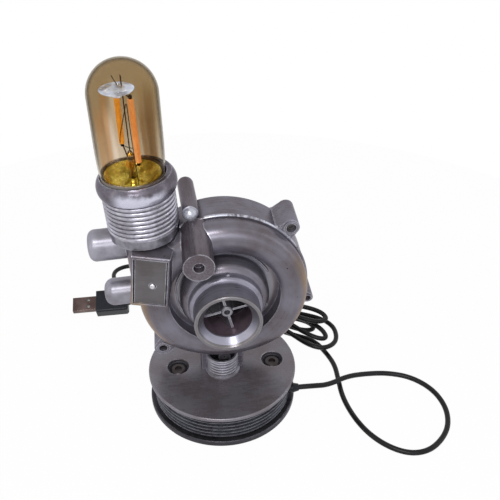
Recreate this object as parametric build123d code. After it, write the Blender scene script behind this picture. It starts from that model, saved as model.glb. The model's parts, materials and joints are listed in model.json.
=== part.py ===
from build123d import *
import os
from math import atan2, cos, degrees, pi, radians, sin, sqrt, tan

# A desk lamp shaped like a turbocharger: a ribbed pulley as its base, a scroll housing with an
# inlet and a wheel, a switch box, and a tubular filament bulb in a threaded holder.
# Millimetres, +Z up, origin at the centre of the base's underside, front towards -Y.

os.makedirs("parts", exist_ok=True)

# Clearances
SPIN_GAP = 0.05          # radial, shaft in its bush
SLIDE_GAP = 0.15         # radial, button in its guide
HOLE_GAP = 0.2           # radial, a rod or lead through a drilled hole
BEYOND = 120.0           # past everything, for cuts that go right through

# Base
BASE_R = 50.0
BASE_H = 26.0
PAD_T = 0.5
PAD_OUT = 45.5
FLANGE_R = 49.9
FLANGE_H = 4.3
PLATE_T = 2.8
EDGE_ROUND = 0.9
RIB_R = 46.8
RIB_DEPTH = 1.7
RIB_COUNT = 6
DRUM_BORE_R = 38.0
DRUM_WEB = 3.4
SCREW_RING_R = 33.0
SCREW_POST_R = 3.6
SCREW_R = 1.5
SCREW_HEAD_R = 2.9
SCREW_COUNT = 3
BOLT_HOLE_R = 7.3
BOLT_LEFT_X = -30.0
BOLT_RIGHT_X = 34.5
BOLT_Y = 0.8
BOLT_HEAD_R = 5.6
BOLT_HEAD_H = 2.2
BOLT_SEAT = 1.2            # depth of the head's seat below the drum's top
BOLT_SHANK_R = 3.0
BOLT_BOSS_R = 6.0
BOLT_BOSS_H = 7.0

# Column under the housing
TUBE_R = 10.5
TUBE_WALL = 1.6
TUBE_H = 14.2
TUBE_Y = -3.3
TUBE_FOOT_R = 11.7
TUBE_FOOT_H = 1.6
TUBE_RING_COUNT = 5
TUBE_RING_DEPTH = 0.35
TUBE_FLOOR = 2.0
PEDESTAL_R = 14.5
PEDESTAL_Y = 1.5
PEDESTAL_FRONT = -3.3
ROD_R = 2.2
ROD_X = 3.5
ROD_Y = 12.05
ROD_GRIP = 11.0
ROD_TAIL = 7.0
NUT_H = 3.2
NUT_ACROSS = 8.0
WASHER_R = 5.0
WASHER_T = 1.0

# Turbo housing: local frame with its Z along the wheel's axis, out of the front
AXIS_X = 2.0
AXIS_Z = 96.1
DISC_Y = -5.3            # front plane of the back plate
DISC_R = 52.5
DISC_T = 25.0
DISC_BEAD_R = 1.1
LUG_FACE_H = 0.7
LUG_SHORT = 1.0          # how far short of the plate's back the lugs stop
LUG_HOLE_DEPTH = 3.6
LUG_SCREW_R = 1.2
LUG_SCREW_LENGTH = 8.0
LUG_WEB_WIDE = 3.2       # how much wider than the lug its web is at the root
LUG_WEB_RIM = 0.9        # and at the plate's rim
LUGS = (                 # angle, how far past the rim, radii of the lug, its raised face and its hole
    (45.0, 5.9, 5.2, 4.5, 3.0),
    (-13.5, 2.8, 3.5, 2.8, 1.8),
    (-131.4, 8.8, 5.8, 4.4, 2.7),
)
NUB_R = 0.9
NUB_H = 0.9
NUBS = (                 # angle, how far past the rim
    (50.5, 2.0),
    (41.5, 0.7),
)
FOOT_LUG_X = -0.7
FOOT_LUG_OUT = 5.2
FOOT_LUG_R = 4.0
FOOT_LUG_HOLE_R = 1.0
FOOT_LUG_FRONT = 1.5
FOOT_LUG_LENGTH = 8.4
SCROLL_R = 51.8          # outermost radius of the scroll
SCROLL_FLAT = 3.3        # how much nearer the axis its underside is
SCROLL_SPREAD = 10.0     # how much larger the circle of the underside is
SCROLL_LIP_R = 34.3
SCROLL_LIP_S = 11.2
SCROLL_CREST_R = 42.6
SCROLL_CREST_S = 14.2
SCROLL_WAIST_S = 2.4
FLOOR_S = 2.6            # floor of the annular groove round the inlet
COLLAR_R = 27.4
COLLAR_SIDE_S = 8.2
COLLAR_S = 15.6
NOTCH_R = 25.4
NOTCH_FROM = -38.0
NOTCH_TO = -9.0
PIPE_R = 20.2
PIPE_S = 35.3
PIPE_BEAD_R = 22.5
PIPE_BEAD_S = 21.4
PIPE_SPIGOT_R = 18.4
PIPE_SEAT_S = 11.0
KNOB_R = 1.5
RING_R = 29.6
RING_WIRE = 0.8
RING_GAP = 24.0

# Wheel
WHEEL_TIP_R = 14.0
WHEEL_OUT_R = 20.2
WHEEL_BACK_S = 0.5
WHEEL_DISC_T = 1.3
WHEEL_FRONT_S = 22.6
WHEEL_HUB_R = 3.7
WHEEL_HUB_S = 24.2
WHEEL_GAP = 0.45
WHEEL_CURVE_S = (2.0, 3.8, 7.4)
WHEEL_CURVE_IN = 1.8
VANE_COUNT = 4
VANE_T = 1.5
VANE_FIRST = 14.0
VANE_TWIST = 30.0
SHAFT_R = 1.9
SHAFT_FRONT_S = 20.6
SHAFT_BACK_S = -12.6
BUSH_R = 5.0
BUSH_FLANGE_R = 7.5
BUSH_FLANGE_T = 1.2
BUSH_LENGTH = 10.4
CLIP_R = 4.0
CLIP_T = 1.0
CHAMBER_R = 40.0
CHAMBER_DEPTH = 10.0
COVER_T = 2.0
COVER_SCREW_R = 36.0
COVER_POST_R = 4.8
COVER_SCREW_GRIP = 4.0

# Leaning stand of the bulb: local frame with its Z along the holder's axis
LEAN = 3.2
STAND_X = -35.2
STAND_Y = 0.0
DUCT_R = 13.0
DUCT_LOW = 92.0
DUCT_BORE_R = 8.0
DUCT_BORE_LOW = 108.0
HOLDER_LOW = 137.7
HOLDER_FOOT_H = 6.4
HOLDER_FOOT_R = 20.2
THREAD_R = 20.9
THREAD_DEPTH = 0.9
THREAD_PITCH = 2.8
THREAD_COUNT = 8
HOLDER_BORE_R = 17.4
HOLDER_FLOOR = 5.0
SHADE_RING_LOW = 165.6
SHADE_RING_R = 22.9
SHADE_RING_S = 171.0
SHADE_RING_TOP = 177.8
SHADE_CREST_R = 20.8

# Bulb: it stands straighter than its holder, turned about a point on the holder's axis
BULB_TILT = 2.2
BULB_PIVOT = 214.0
GLASS_R = 19.0
GLASS_SEAT_R = 18.2
GLASS_TOP = 242.8
GLASS_LOW = 167.0
GLASS_NECK_R = 12.9
GLASS_SHOULDER = 184.0
GLASS_WALL = 0.8
GLASS_SEAT_GAP = 0.3
CAP_R = 13.2
CAP_WALL = 0.5
CAP_LOW = 148.4
CAP_RIBS = 5
TIP_R = 4.6
TIP_LOW = CAP_LOW - 3.0
LEADS_X = 6.5
SHELL_GAP = 0.35
SHELL_T = 0.5
SHELL_LOW = CAP_LOW - 1.4
SHELL_TOP = SHELL_LOW + 13.0
STEM_R = 2.0
STEM_TOP = 191.0
STEM_FLARE_R = 9.0
FILAMENT_R = 1.45
FILAMENT_LEFT = (-3.45, STEM_TOP + 4.9, 222.1)
FILAMENT_RIGHT = (3.85, STEM_TOP - 7.3, 221.0)
SUPPORT_R = 0.35
SUPPORT_TOP = 234.0

# Switch box on the duct
BOX_X = -41.8
BOX_Y = -24.5            # front face
BOX_Z = 118.0
BOX_W = 22.4
BOX_H = 35.8
BOX_DEPTH = 21.0
BOX_YAW = 8.0
BOX_ROLL = 6.0
BOX_DRAFT = 1.6
BOX_EDGE = 1.3
POCKET_W = 19.6
POCKET_H = 31.8
POCKET_DEPTH = 8.0
PLATE_SIDE_GAP = 0.7
PLATE_RECESS = 0.7
SWITCH_PLATE_T = 2.0
BUTTON_X = 1.4
BUTTON_UP = -2.4
BUTTON_R = 1.9
BUTTON_PROUD = 1.3
BUTTON_TRAVEL = 0.8
BUTTON_FLANGE_R = 3.0
BUTTON_FLANGE_T = 0.8
SWITCH_BODY_W = 12.0
SWITCH_BODY_H = 12.0

# Stubs and tubes on the housing
VALVE_R = 9.0
VALVE_FRONT = (-15.5, 39.0, 31.2)
VALVE_BACK = (-15.6, 43.4, 0.6)
VALVE_HOLE_R = 3.2
VALVE_HOLE_DEPTH = 5.0
REAR_TUBE_R = 5.0
REAR_TUBE_X = -17.6
REAR_TUBE_UP = 55.2
REAR_TUBE_FRONT_S = -1.0
REAR_TUBE_BACK_S = -39.0
REAR_TUBE_TOE = 3.0
REAR_BALL_R = 4.3
UPPER_STUB_R = 9.8
UPPER_STUB_Y = 7.0
UPPER_STUB_UP = 127.6
UPPER_STUB_REACH = 35.4
LOWER_STUB_R = 8.5
LOWER_STUB_Y = 0.0
LOWER_STUB_UP = 96.7
LOWER_STUB_REACH = 30.5
LOWER_STUB_ROUND = 5.6
UPPER_STUB_ROUND = 4.2

# Cord and plug
CORD_R = 1.8
EXIT_X = 51.0
EXIT_Y = -14.5
EXIT_Z = 12.0
GROMMET_R = 3.4
GROMMET_FLANGE_R = 4.6
GROMMET_SEAT_X = 36.6
GROMMET_FLANGE_T = 1.8
LEAD_R = 1.3
HANK_CENTRE = (16.5, 84.6)
HANK_ANGLE = 150.9
HANK_LIFT = 4.6
TIE_LIFT = 1.5
HANK_WAIST = 1.8
HANK_TIE_W = 6.0
HANK_TIE_SIDE = 6.3
HANK_TIE_T = 0.8
PLUG_LENGTH = 25.0
PLUG_W = 19.0
PLUG_T = 10.2
RELIEF_LENGTH = 8.0
SHELL_LENGTH = 18.75
SHELL_W = 12.0
SHELL_H = 4.5
SHELL_WALL = 0.35
PLUG_AT = (-59.5, 97.0, 9.7)
PLUG_TIP_ANGLE = 179.0
PLUG_ROLL = 24.0
PLUG_PITCH = 1.9

PLATE_Z = BASE_H - PLATE_T
DRUM_Z = PAD_T + FLANGE_H
WEB_Z = PLATE_Z - DRUM_WEB
TURBO = Location(Plane(origin=(AXIS_X, DISC_Y, AXIS_Z), x_dir=(1, 0, 0), z_dir=(0, -1, 0)))
STAND = Location((STAND_X, STAND_Y, 0), (0, -LEAN, 0))
BULB = STAND * Pos(0, 0, BULB_PIVOT) * Rot(0, BULB_TILT, 0) * Pos(0, 0, -BULB_PIVOT)
BACK_S = -DISC_T


def write(shape, name):
    export_step(shape, "parts/" + name + ".step")
    return shape


def turned(outline):
    """Solid turned about Z from (radius, height) points; four numbers are an arc through the first two."""
    edges = []
    here = outline[0]
    for step in list(outline[1:]) + [outline[0][-2:]]:
        there = step[-2:]
        a = (here[0], 0, here[1])
        b = (there[0], 0, there[1])
        if len(step) == 4:
            edges.append(ThreePointArc(a, (step[0], 0, step[1]), b))
        elif (Vector(a) - Vector(b)).length > 1e-6:
            edges.append(Line(a, b))
        here = there
    return revolve(make_face(edges), Axis.Z)


def rod(radius, low, high, x=0.0, y=0.0):
    """Round bar along Z between two heights."""
    return Pos(x, y, (low + high) / 2) * Cylinder(radius, high - low)


def ring(outer, inner, low, high):
    return rod(outer, low, high) - rod(inner, low - 1, high + 1)


def polar(radius, angle, height=0.0):
    return Pos(radius * cos(radians(angle)), radius * sin(radians(angle)), height)


def rounded_end(radius, length, edge):
    """Bar along +X from the origin, its far edge rounded."""
    bar = Pos(length / 2, 0, 0) * Rot(0, 90, 0) * Cylinder(radius, length)
    return fillet(bar.edges().group_by(Axis.X)[-1], edge)


# Base: pad, bottom flange, ribbed drum, top plate and what fastens them
SCREW_SPOTS = [polar(SCREW_RING_R, 30 + k * 360 / SCREW_COUNT) for k in range(SCREW_COUNT)]
BOLT_SPOTS = [Pos(BOLT_LEFT_X, BOLT_Y, 0), Pos(BOLT_RIGHT_X, BOLT_Y, 0)]
LEAD_X = -6.0
LEAD_Y = 11.1
LEAD_HOLE_R = LEAD_R + 2 * HOLE_GAP


def countersunk(low, high):
    """Screw driven upwards, its flush head at the bottom."""
    head = SCREW_HEAD_R - SCREW_R
    return turned([(0, low), (SCREW_HEAD_R, low), (SCREW_R, low + head), (SCREW_R, high), (0, high)])


def build_base():
    write(rod(PAD_OUT, 0, PAD_T), "foot_pad")

    screw_top = WEB_Z - 2.0
    screws = [spot * countersunk(PAD_T, screw_top) for spot in SCREW_SPOTS]
    flange = rod(FLANGE_R, PAD_T, DRUM_Z)
    flange = fillet(flange.edges().filter_by(GeomType.CIRCLE), EDGE_ROUND)
    access = rod(NUT_ACROSS, 0, DRUM_Z + 1, ROD_X, ROD_Y)
    flange = flange - access
    for screw in screws:
        flange = flange - screw
    write(flange, "base_bottom_flange")
    write(Compound(children=screws), "bottom_flange_screws")

    root_r = RIB_R - RIB_DEPTH
    pitch = (PLATE_Z - DRUM_Z) / RIB_COUNT
    outline = [(0, DRUM_Z), (root_r, DRUM_Z)]
    for k in range(RIB_COUNT):
        foot = DRUM_Z + k * pitch
        outline.append((root_r, foot + 0.22 * pitch))
        outline.append((RIB_R, foot + 0.42 * pitch))
        outline.append((RIB_R, foot + 0.62 * pitch))
        outline.append((root_r, foot + 0.84 * pitch))
    outline.append((root_r, PLATE_Z))
    outline.append((0, PLATE_Z))
    drum = turned(outline) - rod(DRUM_BORE_R, DRUM_Z - 1, WEB_Z)
    posts = [spot * rod(SCREW_POST_R, DRUM_Z, WEB_Z) for spot in SCREW_SPOTS]
    bosses = [spot * rod(BOLT_BOSS_R, WEB_Z - BOLT_BOSS_H, WEB_Z) for spot in BOLT_SPOTS]
    drum = drum + posts + bosses
    shank_low = WEB_Z - BOLT_BOSS_H + 1.5
    bolts = []
    for spot in BOLT_SPOTS:
        seat = PLATE_Z - BOLT_SEAT
        head = turned([(0, seat), (BOLT_HEAD_R, seat), (BOLT_HEAD_R, seat + 0.6 * BOLT_HEAD_H),
                       (BOLT_HEAD_R - 1.1, seat + BOLT_HEAD_H), (2.4, seat + BOLT_HEAD_H),
                       (2.4, seat + 0.6), (0, seat + 0.6)])
        bolts.append(spot * (head + rod(BOLT_SHANK_R, shank_low, seat)))
        drum = drum - spot * rod(BOLT_HOLE_R - 0.6, seat, PLATE_Z + 1)
    for piece in screws + bolts:
        drum = drum - piece
    drum = drum - rod(ROD_R + HOLE_GAP, WEB_Z - 1, PLATE_Z + 1, ROD_X, ROD_Y)
    drum = drum - rod(LEAD_HOLE_R, WEB_Z - 1, PLATE_Z + 1, LEAD_X, LEAD_Y)
    along_x = Pos(0, EXIT_Y, EXIT_Z) * Rot(0, 90, 0)
    drum = drum - along_x * rod(GROMMET_R, GROMMET_SEAT_X, BASE_R)
    drum = drum - along_x * rod(GROMMET_FLANGE_R, DRUM_BORE_R * 0.8, GROMMET_SEAT_X)
    write(drum, "base_ribbed_drum")
    write(Compound(children=bolts), "base_bolts")

    plate = rod(BASE_R, PLATE_Z, BASE_H)
    plate = fillet(plate.edges().filter_by(GeomType.CIRCLE), EDGE_ROUND)
    for spot in BOLT_SPOTS:
        plate = plate - spot * rod(BOLT_HOLE_R, PLATE_Z - 1, BASE_H + 1)
    rims = [e for e in plate.edges().filter_by(GeomType.CIRCLE)
            if abs(e.radius - BOLT_HOLE_R) < 1e-3 and abs(e.center().Z - BASE_H) < 1e-3]
    plate = fillet(rims, 0.5)
    plate = plate - rod(ROD_R + HOLE_GAP, PLATE_Z - 1, BASE_H + 1, ROD_X, ROD_Y)
    plate = plate - rod(LEAD_HOLE_R, PLATE_Z - 1, BASE_H + 1, LEAD_X, LEAD_Y)
    write(plate, "base_top_plate")

    flange_back = GROMMET_SEAT_X - GROMMET_FLANGE_T
    nose = EXIT_X - 4.0
    inner = CORD_R + 0.03
    bush = turned([(inner, flange_back), (GROMMET_FLANGE_R, flange_back), (GROMMET_FLANGE_R, GROMMET_SEAT_X),
                   (GROMMET_R, GROMMET_SEAT_X), (GROMMET_R, nose), (inner + 0.6, EXIT_X), (inner, EXIT_X)])
    write(along_x * bush, "cord_grommet")


# Column: the threaded rod, the ringed tube in front and the pedestal that hugs it
def build_column():
    disc = TURBO * (rod(DISC_R, -BEYOND, BEYOND) + rod(DISC_R + DISC_BEAD_R, -3 * DISC_BEAD_R, 0.5))
    tube_top = BASE_H + TUBE_H
    bore = TUBE_R - TUBE_WALL
    pitch = (TUBE_H - TUBE_FOOT_H - 1.0) / TUBE_RING_COUNT
    outline = [(bore, BASE_H + TUBE_FLOOR), (0, BASE_H + TUBE_FLOOR), (0, BASE_H), (TUBE_FOOT_R, BASE_H),
               (TUBE_FOOT_R, BASE_H + 0.6 * TUBE_FOOT_H), (TUBE_R, BASE_H + TUBE_FOOT_H)]
    for k in range(TUBE_RING_COUNT):
        low = BASE_H + TUBE_FOOT_H + k * pitch
        outline.append((TUBE_R, low + 0.5 * pitch))
        outline.append((TUBE_R - TUBE_RING_DEPTH, low + 0.75 * pitch))
        outline.append((TUBE_R, low + pitch))
    outline.append((TUBE_R, tube_top - 0.4))
    outline.append((TUBE_R - 0.4, tube_top))
    outline.append((bore, tube_top))
    tube = Pos(0, TUBE_Y, 0) * turned(outline)
    write(tube, "column_tube")

    pedestal = rod(PEDESTAL_R, BASE_H, AXIS_Z, 0, PEDESTAL_Y) - disc
    pedestal = pedestal - Pos(0, PEDESTAL_FRONT - BEYOND / 2, BASE_H) * Box(BEYOND, BEYOND, 2 * BEYOND)
    pedestal = pedestal - rod(TUBE_R, BASE_H - 1, BEYOND, 0, TUBE_Y)
    pedestal = pedestal - rod(TUBE_FOOT_R, BASE_H - 1, BASE_H + TUBE_FOOT_H, 0, TUBE_Y)
    pedestal = min(pedestal.solids(), key=lambda s: s.center().Z)
    pedestal = pedestal - rod(ROD_R + HOLE_GAP, BASE_H - 1, BEYOND, ROD_X, ROD_Y)
    pedestal = pedestal - rod(LEAD_HOLE_R, BASE_H - 1, BEYOND, LEAD_X, LEAD_Y)
    write(pedestal, "pedestal")

    rod_top = AXIS_Z - DISC_R + ROD_GRIP
    nut_top = WEB_Z - WASHER_T
    stem = rod(ROD_R, WEB_Z - ROD_TAIL, rod_top, ROD_X, ROD_Y)
    write(stem, "stem_rod")
    washer = rod(WASHER_R, nut_top, WEB_Z, ROD_X, ROD_Y) - stem
    write(washer, "stem_washer")
    hexagon = RegularPolygon(NUT_ACROSS / 2, 6, major_radius=False)
    nut = Pos(ROD_X, ROD_Y, nut_top - NUT_H) * extrude(hexagon, NUT_H) - stem
    write(nut, "stem_nut")


# Wheel chamber, shared by the scroll, the collar and the pipe
def wheel_room():
    outer = WHEEL_OUT_R + WHEEL_GAP
    inner = WHEEL_TIP_R + WHEEL_GAP
    low, mid, knee = (s + WHEEL_GAP for s in WHEEL_CURVE_S)
    mouth = PIPE_R - 2.0
    return turned([(0, 0), (outer, 0), (outer, low), (inner + WHEEL_CURVE_IN, mid, inner, knee),
                   (inner, PIPE_S - 5.2), (mouth, PIPE_S), (mouth, PIPE_S + 5), (0, PIPE_S + 5)])


def toed(x, up, toe, front, back, radius):
    """Bar roughly along the wheel's axis in the housing's frame, its back end turned outwards."""
    return Pos(x, up, front) * Rot(0, toe, 0) * rod(radius, back - front, 0)


def valve_shape():
    """Barrel whose back end lies further out than its face, which stays square to the wheel's axis."""
    return loft([Pos(*VALVE_FRONT) * Circle(VALVE_R), Pos(*VALVE_BACK) * Circle(VALVE_R)])


def rear_tube_shape():
    bar = toed(REAR_TUBE_X, REAR_TUBE_UP, REAR_TUBE_TOE, REAR_TUBE_FRONT_S, REAR_TUBE_BACK_S, REAR_TUBE_R)
    ends = bar.edges().filter_by(GeomType.CIRCLE).sort_by(Axis.Z)
    bar = fillet(ends[:1], REAR_TUBE_R * 0.86)
    bar = fillet(bar.edges().filter_by(GeomType.CIRCLE).sort_by(Axis.Z)[-1:], 1.2)
    ball = Pos(REAR_TUBE_X - 0.5, REAR_TUBE_UP - 0.5, REAR_TUBE_FRONT_S) * Sphere(REAR_BALL_R)
    return bar + ball


def stub(radius, y, up, reach, edge):
    """Round-ended bar out to the left of the leaning duct, in the stand's frame."""
    return Pos(0, y, up) * Rot(0, 0, 180) * rounded_end(radius, reach, edge)


def box_frame():
    """Frame of the switch box: X to its right, Y up its face, Z out of its face."""
    yaw = radians(BOX_YAW)
    roll = radians(BOX_ROLL)
    side = Vector(cos(yaw), -sin(yaw), 0)
    across = side * cos(roll) - Vector(0, 0, 1) * sin(roll)
    out = Vector(-sin(yaw), -cos(yaw), 0)
    return Location(Plane(origin=(BOX_X, BOX_Y, BOX_Z), x_dir=across, z_dir=out))


def lug_block(reach, lug_r, face_r):
    """Lug along the plate's full depth, with a concave web down to the rim and a raised front face."""
    root = DISC_R - 3.0
    rim = DISC_R + 0.4
    wide = lug_r + LUG_WEB_WIDE
    part_way = lug_r + LUG_WEB_RIM
    web = Polyline((root, -wide), (rim, -part_way), (reach, -lug_r), (reach, lug_r), (rim, part_way),
                   (root, wide), close=True)
    low = BACK_S + LUG_SHORT
    body = Pos(reach, 0, 0) * (rod(lug_r, low, 0) + rod(face_r, 0, LUG_FACE_H))
    return Pos(0, 0, low) * extrude(make_face(web), -low) + body


def build_housing():
    # Back plate with its rounded rear edge, front bead and lugs
    bead = DISC_BEAD_R
    plate = turned([(0, BACK_S), (DISC_R - 3, BACK_S), (DISC_R - 0.88, BACK_S + 0.88, DISC_R, BACK_S + 3),
                    (DISC_R, -2 * bead), (DISC_R + 0.6, -bead, DISC_R, 0), (0, 0)])
    for angle, out, lug_r, face_r, hole_r in LUGS:
        plate = plate + Rot(0, 0, angle) * lug_block(DISC_R + out, lug_r, face_r)
    for angle, out in NUBS:
        plate = plate + polar(DISC_R + out, angle) * rod(NUB_R, -NUB_H, NUB_H)
    hole_low = LUG_FACE_H - LUG_HOLE_DEPTH
    for angle, out, lug_r, face_r, hole_r in LUGS:
        at = polar(DISC_R + out, angle)
        plate = plate - at * rod(hole_r, hole_low, 5) - at * rod(LUG_SCREW_R, hole_low - LUG_SCREW_LENGTH, 5)
    foot_lug = Pos(FOOT_LUG_X, -DISC_R - FOOT_LUG_OUT, 0)
    neck = Pos(FOOT_LUG_X, -DISC_R, FOOT_LUG_FRONT - FOOT_LUG_LENGTH / 2) * Box(4.6, 6.0, FOOT_LUG_LENGTH)
    foot = foot_lug * rod(FOOT_LUG_R, FOOT_LUG_FRONT - FOOT_LUG_LENGTH, FOOT_LUG_FRONT) + neck
    foot = foot - rod(DISC_R - 1, 0, 10)
    plate = plate + foot - foot_lug * rod(FOOT_LUG_HOLE_R, FOOT_LUG_FRONT - 3, 5)
    chamber_top = BACK_S + CHAMBER_DEPTH
    plate = plate - rod(CHAMBER_R, BACK_S - 1, chamber_top)
    corners = [polar(COVER_SCREW_R, 45 + 90 * k) for k in range(4)]
    plate = plate + [corner * rod(COVER_POST_R, BACK_S + COVER_T, chamber_top) for corner in corners]
    bush_low = -BUSH_LENGTH
    bush_bore = SHAFT_R + SPIN_GAP
    bush = ring(BUSH_R, bush_bore, bush_low, 0) + ring(BUSH_FLANGE_R, bush_bore, -BUSH_FLANGE_T, 0)
    plate = plate - rod(BUSH_R, -DISC_T, 1) - rod(BUSH_FLANGE_R, -BUSH_FLANGE_T, 1)
    cover = rod(CHAMBER_R, BACK_S, BACK_S + COVER_T)
    screw = turned([(0, BACK_S), (SCREW_HEAD_R, BACK_S), (SCREW_R, BACK_S + SCREW_HEAD_R - SCREW_R),
                    (SCREW_R, chamber_top + COVER_SCREW_GRIP), (0, chamber_top + COVER_SCREW_GRIP)])
    cover_screws = [corner * screw for corner in corners]
    for piece in cover_screws:
        plate = plate - piece
        cover = cover - piece
    plate = TURBO * plate
    stem = rod(ROD_R, 0, AXIS_Z - DISC_R + ROD_GRIP, ROD_X, ROD_Y)
    plate = plate - stem - rod(LEAD_HOLE_R, 0, AXIS_Z - CHAMBER_R + 2, LEAD_X, LEAD_Y)

    # Scroll with its lip, groove and wheel room
    lip = SCROLL_LIP_R
    scroll = turned([(0, 0), (SCROLL_R - 1.0, 0), (SCROLL_R - 1.0, 0.8), (SCROLL_R, SCROLL_WAIST_S),
                     (SCROLL_CREST_R + 6.9, SCROLL_CREST_S - 3.4, SCROLL_CREST_R, SCROLL_CREST_S),
                     (SCROLL_CREST_R - 4.4, SCROLL_CREST_S - 0.7, lip, SCROLL_LIP_S),
                     (lip, FLOOR_S), (0, FLOOR_S)])
    grown = SCROLL_SPREAD
    under = turned([(0, -1), (SCROLL_R + grown, -1), (SCROLL_R + grown, SCROLL_WAIST_S),
                    (SCROLL_CREST_R + grown + 6.9, SCROLL_CREST_S - 3.4,
                     SCROLL_CREST_R + grown, SCROLL_CREST_S), (0, SCROLL_CREST_S)])
    scroll = (scroll & Pos(0, SCROLL_SPREAD + SCROLL_FLAT, 0) * under) - wheel_room()
    step_ring = ring(RING_R + RING_WIRE, RING_R - RING_WIRE, FLOOR_S, FLOOR_S + 2 * RING_WIRE)
    far = 1.5 * RING_R
    half = far * tan(radians(RING_GAP))
    wedge = make_face(Polyline((0, 0), (far, -half), (far, half), close=True))
    step_ring = step_ring - extrude(wedge, COLLAR_S)

    duct = rod(DUCT_R, DUCT_LOW, HOLDER_LOW)
    box = box_frame() * box_block()
    upper = STAND * stub(UPPER_STUB_R, UPPER_STUB_Y, UPPER_STUB_UP, UPPER_STUB_REACH, UPPER_STUB_ROUND)
    lower = STAND * stub(LOWER_STUB_R, LOWER_STUB_Y, LOWER_STUB_UP, LOWER_STUB_REACH, LOWER_STUB_ROUND)
    holder_cut = STAND * rod(THREAD_R + 0.2, HOLDER_LOW, HOLDER_LOW + 60)
    plate = plate - holder_cut
    housing = TURBO * scroll + (STAND * duct - plate) + (box - plate)
    housing = housing - TURBO * rod(SCROLL_LIP_R, FLOOR_S, 60) - holder_cut
    housing = housing - STAND * rod(DUCT_BORE_R, DUCT_BORE_LOW, HOLDER_LOW + 1)
    pocket = Box(POCKET_W, POCKET_H, POCKET_DEPTH, align=(Align.CENTER, Align.CENTER, Align.MAX))
    housing = housing - box_frame() * pocket
    valve = TURBO * valve_shape() - holder_cut
    housing = housing - valve
    upper = upper - STAND * rod(DUCT_R, 0, HOLDER_LOW)
    lower = lower - housing - plate
    upper = upper - housing - plate
    rear = TURBO * rear_tube_shape()
    plate = plate - rear - upper
    housing = housing - rear
    housing = max(housing.solids(), key=lambda s: s.volume)
    upper = max(upper.solids(), key=lambda s: s.volume)
    lower = max(lower.solids(), key=lambda s: s.volume)
    plate = max(plate.solids(), key=lambda s: s.volume)
    write(plate, "back_plate")
    write(housing, "scroll_housing")
    write(upper, "upper_side_stub")
    write(lower, "lower_side_stub")
    write(rear, "rear_tube")
    face = VALVE_FRONT[2]
    hole = rod(VALVE_HOLE_R, face - VALVE_HOLE_DEPTH, face + 1, VALVE_FRONT[0], VALVE_FRONT[1])
    valve = valve - TURBO * hole - plate - rear
    write(max(valve.solids(), key=lambda s: s.volume), "valve_barrel")
    write(TURBO * step_ring, "retaining_ring")
    write(TURBO * cover, "rear_cover")
    write(TURBO * Compound(children=cover_screws), "rear_cover_screws")
    write(TURBO * bush, "shaft_bush")

    lug_screws = []
    seat = LUG_FACE_H - LUG_HOLE_DEPTH
    for angle, out, lug_r, face_r, hole_r in LUGS:
        head = turned([(0, seat), (hole_r, seat), (hole_r, seat + 1.4), (0.4 * hole_r, seat + 1.4),
                       (0.4 * hole_r, seat + 0.7), (0, seat + 0.7)])
        screw = head + rod(LUG_SCREW_R, seat - LUG_SCREW_LENGTH, seat)
        lug_screws.append(polar(DISC_R + out, angle) * screw)
    write(TURBO * Compound(children=lug_screws), "lug_screws")

    collar = turned([(0, FLOOR_S), (COLLAR_R, FLOOR_S), (COLLAR_R, COLLAR_SIDE_S),
                     (COLLAR_R - 1.0, COLLAR_S - 3.2, PIPE_BEAD_R + 0.6, COLLAR_S), (0, COLLAR_S)])
    far = 2 * COLLAR_R
    sector = [(far * cos(radians(a)), far * sin(radians(a))) for a in (NOTCH_FROM, NOTCH_TO)]
    notch = Pos(0, 0, FLOOR_S + 1.5) * extrude(make_face(Polyline((0, 0), *sector, close=True)), far)
    collar = collar - (notch - rod(NOTCH_R, 0, BEYOND))
    room = wheel_room()
    collar = collar - room - rod(PIPE_SPIGOT_R, PIPE_SEAT_S, COLLAR_S + 1) - valve_shape()
    write(TURBO * collar, "inlet_collar")
    bead = PIPE_BEAD_R
    pipe = turned([(0, PIPE_SEAT_S), (PIPE_SPIGOT_R, PIPE_SEAT_S), (PIPE_SPIGOT_R, COLLAR_S),
                   (bead, COLLAR_S), (bead, PIPE_BEAD_S - 3.4), (bead - 0.8, PIPE_BEAD_S - 0.8, PIPE_R, PIPE_BEAD_S),
                   (PIPE_R, PIPE_S - 0.5), (PIPE_R - 0.5, PIPE_S), (0, PIPE_S)])
    knob = polar(bead - 0.4, 86, PIPE_BEAD_S - 4.2) * Sphere(KNOB_R)
    write(TURBO * (pipe + knob - room), "inlet_pipe")


def box_block():
    """The cast block of the switch box, drafted towards its face."""
    front = Rectangle(BOX_W, BOX_H)
    back = Pos(0, 0, -BOX_DEPTH) * Rectangle(BOX_W + 2 * BOX_DRAFT, BOX_H + 2 * BOX_DRAFT)
    block = loft([front, back])
    return fillet(block.edges().group_by(Axis.Z)[-1], BOX_EDGE)


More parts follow.
